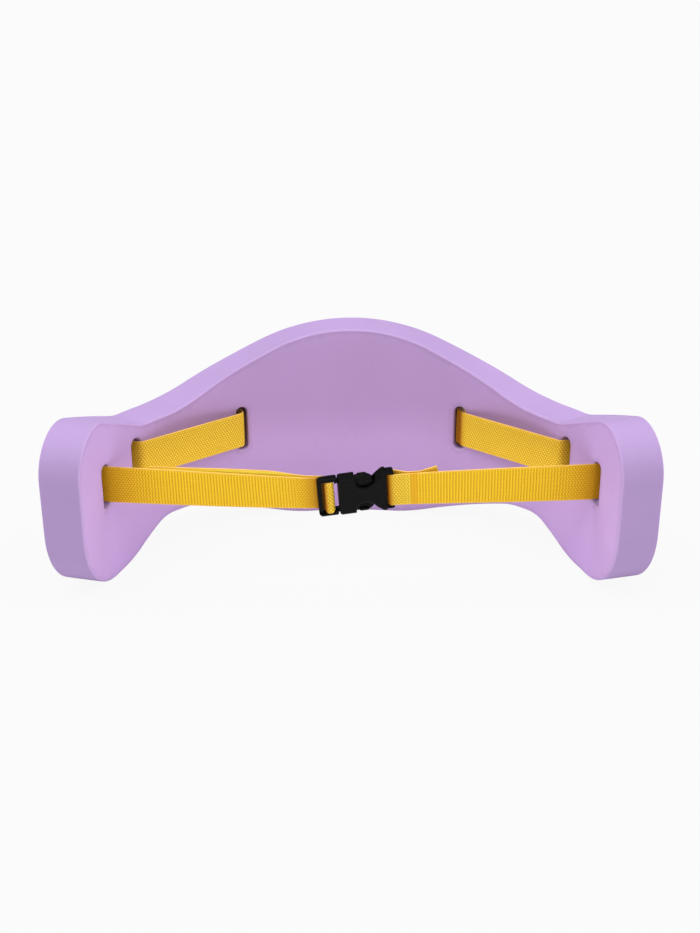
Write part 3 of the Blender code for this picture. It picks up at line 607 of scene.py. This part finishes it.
# Webbing routes

def buckle_matrix():
    """The buckle's frame: its axes run along it, up across it and out of its front."""
    along = Vector((math.cos(BUCKLE_ROLL), 0, math.sin(BUCKLE_ROLL)))
    across = Vector((-math.sin(BUCKLE_ROLL), 0, math.cos(BUCKLE_ROLL)))
    out = along.cross(across)
    lean_across = across * math.cos(BUCKLE_LEAN) + out * math.sin(BUCKLE_LEAN)
    lean_out = along.cross(lean_across)
    place = Vector((BUCKLE_SIDE_OFFSET, BACK_SETBACK - BUCKLE_FRONT, SLOT_LINE_Z - BUCKLE_SAG))
    turn = Matrix((along, lean_across, lean_out)).transposed().to_4x4()
    return Matrix.Translation(place) @ Matrix.Rotation(BUCKLE_YAW, 4, "Z") @ turn


def laid(start, end):
    """Plan points on the slab's outer face between two places along it."""
    steps = math.ceil((end - start) / FINE_STEP)
    return [(wall(start + (end - start) * step / steps, LAY_OFFSET), 0) for step in range(1, steps)]


def lacing(crosses):
    """Plan route of one side's webbing, from the middle of the back to its outer slot.

    In the inner slot it follows the wall nearer the middle until it crosses over, or stays a little off it.
    """
    reach = SLOT_WALL_OFFSET
    inner = reach - (SLOT_WIDTH - INNER_SLOT_WIDTH) / 2
    near = -inner + (0 if crosses else INNER_STAND_OFF)
    path = [(wall(0, LAY_OFFSET), 0)]
    path += laid(0, SLOT_INNER_PLACE + near - STRAP_BEND_RADIUS)
    path.append((slot_point(SLOT_INNER_PLACE, near, LAY_OFFSET), STRAP_BEND_RADIUS))
    if crosses:
        depth = INNER_CROSSING - LAY_OFFSET
        path.append((slot_point(SLOT_INNER_PLACE, near, depth), INNER_CROSSING_RADIUS))
        path.append((slot_point(SLOT_INNER_PLACE, inner, -LAY_OFFSET), INNER_CROSSING_RADIUS))
    else:
        path.append((slot_point(SLOT_INNER_PLACE, near, -LAY_OFFSET), STRAP_BEND_RADIUS))
    path.append((slot_point(SLOT_MIDDLE_PLACE, -reach, -LAY_OFFSET), STRAP_BEND_RADIUS))
    path.append((slot_point(SLOT_MIDDLE_PLACE, reach, LAY_OFFSET), STRAP_BEND_RADIUS))
    path += laid(SLOT_MIDDLE_PLACE + reach + STRAP_BEND_RADIUS, SLOT_OUTER_PLACE - reach - STRAP_BEND_RADIUS)
    path.append((slot_point(SLOT_OUTER_PLACE, -reach, LAY_OFFSET), STRAP_BEND_RADIUS))
    path.append((slot_point(SLOT_OUTER_PLACE, -reach, -FOAM_THICKNESS / 2), 0))
    return path


def settled(point):
    """A laced plan point in space: on the slot line, and beyond the middle slot sinking to the outer one."""
    side = 1 if point.x > 0 else -1
    middle = wall(SLOT_MIDDLE_PLACE, 0).y
    outer = wall(SLOT_OUTER_PLACE, 0).y
    drop = outer_drop(side) * smooth((middle - point.y) / (middle - outer))
    return point.to_3d() + UP * (SLOT_LINE_Z - drop)


def stretch(start, end, reach, lean):
    """Webbing between the outer slot and the buckle: a shallow bow that takes up the buckle's lean."""
    first = start + (end - start) / 3 - Vector((0, STRAP_BOW, 0))
    second = end - reach
    count = math.ceil((end - start).length / FINE_STEP)
    rows = []
    for step in range(count + 1):
        t = step / count
        point = (start * (1 - t) ** 3 + first * 3 * t * (1 - t) ** 2
                 + second * 3 * t * t * (1 - t) + end * t ** 3)
        rows.append((point, UP.lerp(lean, smooth(t)).normalized()))
    return rows


def facing(rows, index):
    """Direction along a run at one row, and the one square to its face."""
    low = rows[max(index - 1, 0)][0]
    high = rows[min(index + 1, len(rows) - 1)][0]
    along = (high - low).normalized()
    return along, along.cross(rows[index][1]).normalized()


def layered(rows, start, end, offset_start, offset_end, ease_length, side, rise=0, sink=0):
    """The second layer behind a stretch, between two distances from its first row.

    It eases out and up over one length, and then sinks towards its end.
    """
    out = []
    travelled = 0
    for index in range(len(rows)):
        if index:
            travelled += (rows[index][0] - rows[index - 1][0]).length
        if travelled < start or travelled > end:
            continue
        along, normal = facing(rows, index)
        eased = smooth(travelled / ease_length)
        offset = offset_start + (offset_end - offset_start) * eased
        lift = rise * eased - sink * smooth((travelled - ease_length) / (end - ease_length))
        out.append((rows[index][0] - side * normal * offset + rows[index][1] * lift, rows[index][1]))
    return out


def join_rise(u):
    """How far the webbing sits up from the plug's middle; level again once it is past the end bar."""
    start = PLUG_END - STRAP_JOIN_CLEARANCE
    return STRAP_JOIN_RISE * (1 - smooth((u - start) / (PLUG_END + PLUG_END_BAR_WIDTH - start)))


def socket_turn(frame, across):
    """Webbing round the socket's bar, from its front to its back."""
    turn = []
    for step in range(1, TURN_STEPS + 1):
        angle = math.pi * (0.5 + step / TURN_STEPS)
        spot = Vector((SOCKET_BAR_PLACE + LOOP_RADIUS * math.cos(angle), 0, LOOP_RADIUS * math.sin(angle)))
        turn.append((frame @ spot, across))
    return turn


def socket_tail(back_way):
    """The stitched layer behind the right front, and the free tail that turns up and away from it."""
    behind = layered(back_way, FINE_STEP / 2, TACK_END, 2 * LOOP_RADIUS, LAYER_PITCH, TACK_START, 1)
    run, normal = facing(back_way, round(TACK_END / FINE_STEP))
    point, last_up = behind[-1]
    pieces = math.ceil((SOCKET_TAIL_LENGTH - TACK_END) / FINE_STEP)
    piece = (SOCKET_TAIL_LENGTH - TACK_END) / pieces
    for step in range(1, pieces + 1):
        share = smooth(step * piece / TAIL_TURN_LENGTH)
        heading = run * math.cos(TAIL_TURN * share) + last_up * math.sin(TAIL_TURN * share)
        up = last_up * math.cos(TAIL_TURN * share) - run * math.sin(TAIL_TURN * share)
        away = heading * math.cos(TAIL_STAND_OFF * share) - normal * math.sin(TAIL_STAND_OFF * share)
        point = point + away * piece
        behind.append((point.copy(), up))
    return behind


def plug_wrap(frame, across):
    """Webbing behind the plug's end bar, over its crossbar and back behind both."""
    middle = PLUG_CROSSBAR_PLACE
    tail_depth = UNDER_BAR + LAYER_PITCH
    crown = LOOP_RADIUS - LAYER_GAP / 2
    corners = [(Vector((PLUG_END - STRAP_JOIN_CLEARANCE + LAYER_GAP, -UNDER_BAR)), 0),
               (Vector((PLUG_END, -UNDER_BAR)), 0),
               (Vector((PLUG_END + PLUG_END_BAR_WIDTH, -UNDER_BAR)), 0),
               (Vector((middle - LOOP_RADIUS, -UNDER_BAR)), STRAP_THICKNESS),
               (Vector((middle - LOOP_RADIUS, LOOP_RADIUS)), crown),
               (Vector((middle + LOOP_RADIUS, LOOP_RADIUS)), crown),
               (Vector((middle + LOOP_RADIUS, -tail_depth)), LOOP_RADIUS),
               (Vector((PLUG_END - STRAP_JOIN_CLEARANCE, -tail_depth)), 0)]
    return [(frame @ Vector((point.x, join_rise(point.x), point.y)), across)
            for point in rounded(corners, ROUTE_STEPS)]


def laced_route(frame, along, across):
    """The laced webbing with its right front and stitched tail, and the point on the socket bar's front."""
    left_half = [(Vector((-corner.x, corner.y)), radius) for corner, radius in reversed(lacing(False))]
    laced = [(settled(point), UP) for point in rounded(left_half + lacing(True)[1:], ROUTE_STEPS)]
    bar_front = frame @ Vector((SOCKET_BAR_PLACE, 0, LOOP_RADIUS))
    right = stretch(laced[-1][0], bar_front, -along * SOCKET_TAKE_UP, across)
    tail = socket_tail(list(reversed(right)))
    return laced + right[1:] + socket_turn(frame, across) + tail, bar_front


def plug_routes(start, frame, along, across):
    """The left front, the plug's loop with the free tail behind it, and the point where the loop turns up."""
    meet = frame @ Vector((PLUG_END - STRAP_JOIN_CLEARANCE, STRAP_JOIN_RISE, -UNDER_BAR))
    left = stretch(start, meet, along * PLUG_TAKE_UP, across)
    behind = layered(list(reversed(left)), STRAP_STEP / 2, PLUG_TAIL_LENGTH, LAYER_PITCH, PLUG_TAIL_STAND_OFF,
                     PLUG_TAIL_EASE, -1, PLUG_TAIL_RISE, PLUG_TAIL_SINK)
    loop_back = frame @ Vector((PLUG_CROSSBAR_PLACE - LOOP_RADIUS, 0, 0))
    return left, plug_wrap(frame, across) + behind, loop_back


def resampled(rows, step):
    """Rows an even distance apart: points and up directions."""
    points = np.array([tuple(row[0]) for row in rows])
    ups = np.array([tuple(row[1]) for row in rows])
    spans = np.linalg.norm(np.diff(points, axis=0), axis=1)
    keep = np.concatenate(([True], spans > SAME_SPOT))
    points = points[keep]
    ups = ups[keep]
    marks = np.concatenate(([0], np.cumsum(np.linalg.norm(np.diff(points, axis=0), axis=1))))
    count = int(marks[-1] / step)
    goals = np.arange(count + 1) * step
    place = np.column_stack([np.interp(goals, marks, points[:, axis]) for axis in range(3)])
    lean = np.column_stack([np.interp(goals, marks, ups[:, axis]) for axis in range(3)])
    return place, lean / np.linalg.norm(lean, axis=1)[:, None]


def closeness(rows, knots):
    """How much each row of a run is shaded by its knots, and how near it is to them, from 0 to 1."""
    dark = np.zeros(len(rows))
    near = np.zeros(len(rows))
    for spot, strength, shade_reach, weave_reach in knots:
        away = (rows - spot) * WEAVE_PITCH / WEAVE_SAMPLES
        dark = np.maximum(dark, strength * np.exp(-(away / shade_reach) ** 2))
        near = np.maximum(near, np.exp(-(away / weave_reach) ** 2))
    return dark, near


def weave(rows, twill):
    """Heights of one face of the webbing, a row for each sample along it, from plain ribs to full twill."""
    across = np.arange(WEAVE_COLUMNS * COLUMN_SAMPLES + 1)
    column = across // COLUMN_SAMPLES
    swell = np.sin(math.pi * (across % COLUMN_SAMPLES) / COLUMN_SAMPLES) ** SWELL_POWER
    zigzag = RIB_ZIGZAG + (TWILL_ZIGZAG - RIB_ZIGZAG) * twill
    groove = RIB_GROOVE + (TWILL_GROOVE - RIB_GROOVE) * twill
    phase = (rows[:, None] + zigzag[:, None] * (column % 2)[None, :]) % WEAVE_SAMPLES
    rise = np.sin(math.pi * phase / WEAVE_SAMPLES) ** RIB_POWER
    return (1 - groove[:, None] * (1 - swell[None, :])) * (RIB_FLOOR + (1 - RIB_FLOOR) * rise)


def face_section(indices, height, groove_shade):
    """Rows across one face, selvages included: places sideways, heights, groove shares for the painted shade
    in the weave's grooves, and selvage shares.
    """
    count = len(indices)
    pitch = (STRAP_WIDTH - 2 * SELVAGE) / WEAVE_COLUMNS / COLUMN_SAMPLES
    inner = -STRAP_WIDTH / 2 + SELVAGE + np.arange(WEAVE_COLUMNS * COLUMN_SAMPLES + 1) * pitch
    drop = EDGE_DROP * np.clip((abs(inner) - STRAP_WIDTH / 2 + EDGE_REACH) / EDGE_REACH, 0, 1) ** 2
    face = STRAP_THICKNESS / 2 - WEAVE_DEPTH + WEAVE_DEPTH * height - drop
    cord = CORD_DEPTH * np.sin(indices * (2 * math.pi / WEAVE_SAMPLES))
    edge_v = [np.full(count, -STRAP_WIDTH / 2)]
    edge_n = [np.zeros(count)]
    for share, level, corded in reversed(SELVAGE_PROFILE):
        edge_v.append(np.full(count, -STRAP_WIDTH / 2 + SELVAGE * (1 - share)))
        edge_n.append((STRAP_THICKNESS / 2 - EDGE_DROP) * level + cord * corded)
    v = np.column_stack(edge_v + [np.tile(inner, (count, 1))] + [-value for value in reversed(edge_v)])
    n = np.column_stack(edge_n + [face] + edge_n[::-1])
    flat = np.ones((count, len(edge_v)))
    return v, n, np.column_stack((flat, groove_shade, flat)), np.column_stack((flat, np.zeros(height.shape), flat))


def ribbon_faces(count, around):
    """Quads along a closed run of rings, and the caps of its two ends."""
    row = np.arange(count - 1)[:, None] * around
    step = np.arange(around)[None, :]
    ahead = (step + 1) % around
    quads = np.stack((row + step, row + ahead, row + around + ahead, row + around + step), axis=-1)
    faces = quads.reshape(-1, 4)[:, ::-1].tolist()
    half = around // 2
    for cap in (np.arange(around), (np.arange(around) + (count - 1) * around)[::-1]):
        for k in range(1, half - 1):
            faces.append([cap[k], cap[k + 1], cap[(around - k - 1) % around], cap[(around - k) % around]])
        faces.append([cap[0], cap[1], cap[around - 1]])
        faces.append([cap[half - 1], cap[half], cap[half + 1]])
    return faces


def ribbon(name, rows, span, surface, knots, outer, highlight_rows, tack=(0, 0), plain=math.inf):
    """Closed webbing over a span of a run's rows, ribbed on its outer face and twilled on the other.

    Near the knots the ribs zigzag too, between two rows its outer face is paler with painted highlight and
    between two others tacked. Its inner face is paler all over with painted light, and from a last row it is
    plain, without the painted groove shade.
    """
    place, up = rows
    indices = np.arange(span[0], span[1] + 1)
    count = len(indices)
    dark, near = closeness(indices, knots)
    diamonds = np.minimum(1, DIAMOND_GAIN * near)
    tacked = (indices >= tack[0]) & (indices < tack[1])
    highlighted = (indices >= highlight_rows[0]) & (indices < highlight_rows[1])
    sections = []
    for side in (1, -1):
        # The outer face is paler only on the highlighted rows, as painted highlight; the inner face is paler
        # all over, as painted light
        if side == outer:
            height = weave(indices, diamonds)
            groove_shade = height
            painted_light = highlighted
        else:
            height = weave(indices, np.ones(count))
            groove_shade = np.where(indices[:, None] < plain, height, 1)
            painted_light = np.ones(count)
        v, n, groove_shade, margin = (values[:, ::side][:, :-1] for values in face_section(indices, height, groove_shade))
        sections.append((v, side * n, groove_shade, margin, np.tile(painted_light[:, None], (1, v.shape[1]))))
    v, n, groove_shade, margin, painted_light = (np.column_stack(values) for values in zip(*sections))

    around = v.shape[1]
    lift = up[indices]
    ahead = place[np.minimum(indices + 1, len(place) - 1)] - place[np.maximum(indices - 1, 0)]
    ahead /= np.linalg.norm(ahead, axis=1)[:, None]
    normal = np.cross(ahead, lift)
    normal /= np.linalg.norm(normal, axis=1)[:, None]
    points = place[indices][:, None, :] + lift[:, None, :] * v[:, :, None]
    points = points + normal[:, None, :] * n[:, :, None]
    marks = {"groove_shade": groove_shade, "selvage": margin, "inner": painted_light, "dark": np.tile(dark[:, None], (1, around)),
             "tack": np.tile(tacked[:, None], (1, around))}
    return new_object(name, points.reshape(-1, 3), ribbon_faces(count, around), marks, surface)


def nearest(run, spot):
    """Index of the row of a run that lies nearest to a point."""
    return int(np.argmin(np.sum((run[0] - np.array(tuple(spot))) ** 2, axis=1)))


def slot_knots(run):
    """Knots where a run passes the slots, left and right by turns from the inner ones to the outer ones."""
    knots = []
    for place, *kinds in ((SLOT_INNER_PLACE, KNOT_INNER, KNOT_INNER),
                          (SLOT_MIDDLE_PLACE, KNOT_MIDDLE, KNOT_MIDDLE),
                          (SLOT_OUTER_PLACE, KNOT_OUTER_LEFT, KNOT_OUTER_RIGHT)):
        for side, kind in zip((-1, 1), kinds):
            knots.append((nearest(run, wall(side * place, 0).to_3d() + UP * SLOT_LINE_Z), *kind))
    return knots


def make_laced(run, bar_front, surface):
    """The laced webbing in four pieces, cut where it passes the inner slots and the right outer one."""
    step = WEAVE_PITCH / WEAVE_SAMPLES
    knots = slot_knots(run)
    cuts = [round(SEAM_DEPTH / step), knots[0][0], knots[1][0], knots[5][0], len(run[0]) - 1]
    bar = nearest(run, bar_front)
    crossing = slot_point(SLOT_INNER_PLACE, 0, INNER_CROSSING / 2 - LAY_OFFSET).to_3d() + UP * SLOT_LINE_Z
    knots.append((bar + round(BAR_SHADE_AHEAD / step), *KNOT_BAR))
    knots.append((nearest(run, crossing), *KNOT_CROSSING))
    tack = (bar - round(TACK_END / step), bar - round(TACK_START / step))
    names = ("webbing_left", "webbing_back", "webbing_right", "webbing_right_front")
    for name, *span in zip(names, cuts, cuts[1:]):
        item = ribbon(name, run, span, surface, knots, -1, (tack[1], bar), tack)
        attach(item, "belt")
        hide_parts("strap_webbing")


def make_left_front(run, left, loop_back, surface):
    """The left front with the plug's loop and free tail: it stretches between the belt and the plug."""
    step = WEAVE_PITCH / WEAVE_SAMPLES
    flank = nearest(run, loop_back)
    knots = [(0, *KNOT_OUTER_LEFT), (nearest(run, left[-1][0]), *KNOT_END_BAR), (flank, *KNOT_LOOP),
             (flank - round(RECESS_SHADE_BEFORE / step), *KNOT_RECESS)]
    highlight_rows = (flank, flank + round(LOOP_HIGHLIGHT / step))
    front = ribbon("webbing_left_front", run, (0, len(run[0]) - 1), surface, knots, 1, highlight_rows, plain=highlight_rows[1])
    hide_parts("strap_left_front")
    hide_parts("strap_plug_end")
    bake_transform(front)


def make_webbing(surface):
    """All the webbing: the laced run, and the left front that leaves it inside the left outer slot."""
    frame = buckle_matrix()
    along = frame.col[0].to_3d()
    across = frame.col[1].to_3d()
    step = WEAVE_PITCH / WEAVE_SAMPLES
    seam = round(SEAM_DEPTH / step)
    laced, bar_front = laced_route(frame, along, across)
    left, loop, loop_back = plug_routes(laced[0][0], frame, along, across)
    run = resampled(laced, step)
    make_laced(run, bar_front, surface)
    lead = [(Vector(run[0][index]), Vector(run[1][index])) for index in range(seam, 0, -1)]
    make_left_front(resampled(lead + left + loop, step), left, loop_back, surface)


# Materials

def new_material(name):
    surface = bpy.data.materials.new(name)
    surface.use_nodes = True
    tree = surface.node_tree
    return surface, tree, tree.nodes["Principled BSDF"]


def noise(tree, vector, scale, detail):
    node = tree.nodes.new("ShaderNodeTexNoise")
    node.inputs["Scale"].default_value = scale
    node.inputs["Detail"].default_value = detail
    tree.links.new(vector, node.inputs["Vector"])
    return node.outputs["Fac"]


def ranged(tree, value, limits, results):
    """A value mapped from one range to another, and held inside it."""
    node = tree.nodes.new("ShaderNodeMapRange")
    node.inputs["From Min"].default_value = limits[0]
    node.inputs["From Max"].default_value = limits[1]
    node.inputs["To Min"].default_value = results[0]
    node.inputs["To Max"].default_value = results[1]
    tree.links.new(value, node.inputs["Value"])
    return node.outputs["Result"]


def mixed(tree, share, one, other):
    """Colour mix; one and other are colours or sockets."""
    node = tree.nodes.new("ShaderNodeMix")
    node.data_type = "RGBA"
    tree.links.new(share, node.inputs["Factor"])
    for name, value in (("A", one), ("B", other)):
        target = [entry for entry in node.inputs if entry.name == name and entry.type == "RGBA"][0]
        if isinstance(value, tuple):
            target.default_value = (*value, 1)
        else:
            tree.links.new(value, target)
    return [entry for entry in node.outputs if entry.type == "RGBA"][0]


def bump(tree, shader, height, strength, distance, before=None):
    """A bump on a shader's normal, over an earlier one if there is one."""
    node = tree.nodes.new("ShaderNodeBump")
    node.inputs["Strength"].default_value = strength
    node.inputs["Distance"].default_value = distance
    tree.links.new(height, node.inputs["Height"])
    if before is not None:
        tree.links.new(before, node.inputs["Normal"])
    tree.links.new(node.outputs["Normal"], shader.inputs["Normal"])
    return node.outputs["Normal"]


def shade(colour, factor):
    return tuple(value * factor for value in colour)


def mark(tree, name):
    """The value that each point of a mesh carries under a name."""
    node = tree.nodes.new("ShaderNodeAttribute")
    node.attribute_name = name
    return node.outputs["Fac"]


def foam_material():
    surface, tree, shader = new_material("foam")
    place = tree.nodes.new("ShaderNodeTexCoord").outputs["Object"]
    cloud = noise(tree, place, *CLOUD_NOISE)
    cells = noise(tree, place, *CELL_NOISE)
    tints = []
    for tint in (FOAM_COLOUR, FOAM_SIDE_SHADE_COLOUR):
        clouded = mixed(tree, ranged(tree, cloud, CLOUD_PART, (0, 1)),
                        *(shade(tint, factor) for factor in FOAM_CLOUD_FACTORS))
        cell_share = ranged(tree, cells, CELL_PART, (0, FOAM_CELL_SHARE))
        tints.append(mixed(tree, cell_share, clouded, shade(tint, FOAM_CELL_FACTOR)))
    # The sides take the darker tint: painted shade
    colour = mixed(tree, mark(tree, "side_shade"), *tints)
    edge = mark(tree, "edge")
    # The rounded edges are lightened: painted highlight
    colour = mixed(tree, ranged(tree, edge, (0, 1), (0, FOAM_EDGE_HIGHLIGHT_SHARE)), colour, FOAM_EDGE_HIGHLIGHT_COLOUR)
    slot_share = ranged(tree, edge, (0, -1), (0, FOAM_SLOT_SHARE))
    colour = mixed(tree, slot_share, colour, shade(FOAM_COLOUR, FOAM_SLOT_FACTOR))
    tree.links.new(colour, shader.inputs["Base Color"])
    tree.links.new(ranged(tree, cloud, CELL_PART, FOAM_ROUGHNESS), shader.inputs["Roughness"])
    shader.inputs["Specular IOR Level"].default_value = FOAM_SHINE
    first = bump(tree, shader, cells, *CELL_BUMP)
    bump(tree, shader, noise(tree, place, *SKIN_NOISE), *SKIN_BUMP, first)
    return surface


def webbing_material():
    surface, tree, shader = new_material("webbing")
    # The inner face and the highlighted rows are paler: painted light
    lit = mixed(tree, mark(tree, "inner"), WEBBING_TOP, WEBBING_PAINTED_LIGHT)
    # Low parts of the weave take the darker groove colour: painted shade
    colour = mixed(tree, ranged(tree, mark(tree, "groove_shade"), GROOVE_SHADE_HEIGHTS, (0, 1)), WEBBING_GROOVE_SHADE, lit)
    colour = mixed(tree, mark(tree, "selvage"), colour, SELVAGE_COLOUR)
    colour = mixed(tree, ranged(tree, mark(tree, "tack"), (0, 1), (0, TACK_SHARE)), colour, TACK_COLOUR)
    dark = mark(tree, "dark")
    # Near the knots the colour darkens, to near black at the strongest: painted shade in slots, loops and
    # recesses
    colour = mixed(tree, ranged(tree, dark, (0, FULL_SHADE), (0, 1)), colour, WEBBING_SHADE)
    colour = mixed(tree, ranged(tree, dark, (FULL_SHADE, FULL_DEEP_SHADE), (0, 1)), colour, WEBBING_DEEP_SHADE)
    fibre = noise(tree, tree.nodes.new("ShaderNodeTexCoord").outputs["Object"], *FIBRE_NOISE)
    fibre_share = ranged(tree, fibre, FIBRE_PART, (0, FIBRE_SHARE))
    colour = mixed(tree, fibre_share, colour, shade(WEBBING_TOP, FIBRE_FACTOR))
    tree.links.new(colour, shader.inputs["Base Color"])
    shader.inputs["Roughness"].default_value = WEBBING_ROUGHNESS
    shader.inputs["Specular IOR Level"].default_value = WEBBING_SHINE
    bump(tree, shader, fibre, *FIBRE_BUMP)
    return surface


def plastic_material():
    surface, tree, shader = new_material("buckle_plastic")
    place = tree.nodes.new("ShaderNodeTexCoord").outputs["Object"]
    grain = noise(tree, place, *GRAIN_NOISE)
    cloud = ranged(tree, noise(tree, place, *PLASTIC_CLOUD_NOISE), PLASTIC_CLOUD_PART, (0, 1))
    colour = mixed(tree, cloud, PLASTIC_COLOUR, shade(PLASTIC_COLOUR, PLASTIC_CLOUD_FACTOR))
    tree.links.new(colour, shader.inputs["Base Color"])
    tree.links.new(ranged(tree, grain, GRAIN_PART, PLASTIC_ROUGHNESS), shader.inputs["Roughness"])
    shader.inputs["Specular IOR Level"].default_value = PLASTIC_SHINE
    bump(tree, shader, grain, *GRAIN_BUMP)
    return surface


# Stage

def make_camera():
    data = bpy.data.cameras.new("camera")
    data.lens = LENS
    data.sensor_width = SENSOR
    data.sensor_fit = "HORIZONTAL"
    data.clip_start = NEAR_CLIP
    camera = bpy.data.objects.new("camera", data)
    bpy.context.scene.collection.objects.link(camera)
    back = Vector((0, -VIEW_DISTANCE * math.cos(VIEW_DROP), VIEW_DISTANCE * math.sin(VIEW_DROP)))
    camera.location = Vector(VIEW_AIM) + back
    camera.rotation_mode = "QUATERNION"
    turn = Matrix.Rotation(math.pi / 2 - VIEW_DROP, 4, "X") @ Matrix.Rotation(VIEW_ROLL, 4, "Z")
    camera.rotation_quaternion = turn.to_quaternion()
    bpy.context.scene.camera = camera


def make_light():
    world = bpy.data.worlds.new("studio")
    bpy.context.scene.world = world
    world.use_nodes = True
    tree = world.node_tree
    sky = tree.nodes["Background"]
    sky.inputs["Color"].default_value = (1, 1, 1, 1)
    sky.inputs["Strength"].default_value = WORLD_LEVEL
    seen = tree.nodes.new("ShaderNodeBackground")
    seen.inputs["Color"].default_value = (*BACKDROP, 1)
    rays = tree.nodes.new("ShaderNodeLightPath")
    pick = tree.nodes.new("ShaderNodeMixShader")
    tree.links.new(rays.outputs["Is Camera Ray"], pick.inputs["Fac"])
    tree.links.new(sky.outputs["Background"], pick.inputs[1])
    tree.links.new(seen.outputs["Background"], pick.inputs[2])
    tree.links.new(pick.outputs["Shader"], tree.nodes["World Output"].inputs["Surface"])
    for name, level, side, height in LAMPS:
        lamp_data = bpy.data.lights.new(name, "SUN")
        lamp_data.energy = math.pi * level
        lamp_data.angle = LAMP_SPREAD
        lamp = bpy.data.objects.new(name, lamp_data)
        reach = math.cos(height)
        towards = Vector((math.sin(side) * reach, -math.cos(side) * reach, math.sin(height)))
        lamp.rotation_mode = "QUATERNION"
        lamp.rotation_quaternion = towards.to_track_quat("Z", "Y")
        bpy.context.scene.collection.objects.link(lamp)


def make_floor():
    bm = bmesh.new()
    bmesh.ops.create_grid(bm, x_segments=2, y_segments=2, size=FLOOR_REACH)
    mesh = bpy.data.meshes.new("floor")
    bm.to_mesh(mesh)
    bm.free()
    surface, tree, shader = new_material("floor")
    shader.inputs["Base Color"].default_value = (*FLOOR_COLOUR, 1)
    shader.inputs["Roughness"].default_value = FLOOR_ROUGHNESS
    shader.inputs["Specular IOR Level"].default_value = FLOOR_SHINE
    glow = tree.nodes.new("ShaderNodeEmission")
    glow.inputs["Color"].default_value = (*FLOOR_GLOW, 1)
    rays = tree.nodes.new("ShaderNodeLightPath")
    share = tree.nodes.new("ShaderNodeMath")
    share.operation = "MULTIPLY"
    share.inputs[1].default_value = FLOOR_SHARE
    tree.links.new(rays.outputs["Is Camera Ray"], share.inputs[0])
    pick = tree.nodes.new("ShaderNodeMixShader")
    tree.links.new(share.outputs["Value"], pick.inputs["Fac"])
    tree.links.new(shader.outputs["BSDF"], pick.inputs[1])
    tree.links.new(glow.outputs["Emission"], pick.inputs[2])
    tree.links.new(pick.outputs["Shader"], tree.nodes["Material Output"].inputs["Surface"])
    mesh.materials.append(surface)
    floor = bpy.data.objects.new("floor", mesh)
    bpy.context.scene.collection.objects.link(floor)


def dress_buckle(surface, frame):
    """The buckle keeps the CAD's own meshes, and gets its material."""
    for name in ("buckle_socket", "buckle_plug", "latch_arm_upper", "latch_arm_lower"):
        node = frame["nodes"][name]
        for entry in node.material_slots:
            entry.material = surface


def main():
    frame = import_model()
    make_camera()
    make_light()
    make_floor()
    make_foam(foam_material())
    make_webbing(webbing_material())
    dress_buckle(plastic_material(), frame)
    bpy.context.scene.view_settings.view_transform = "Standard"


main()
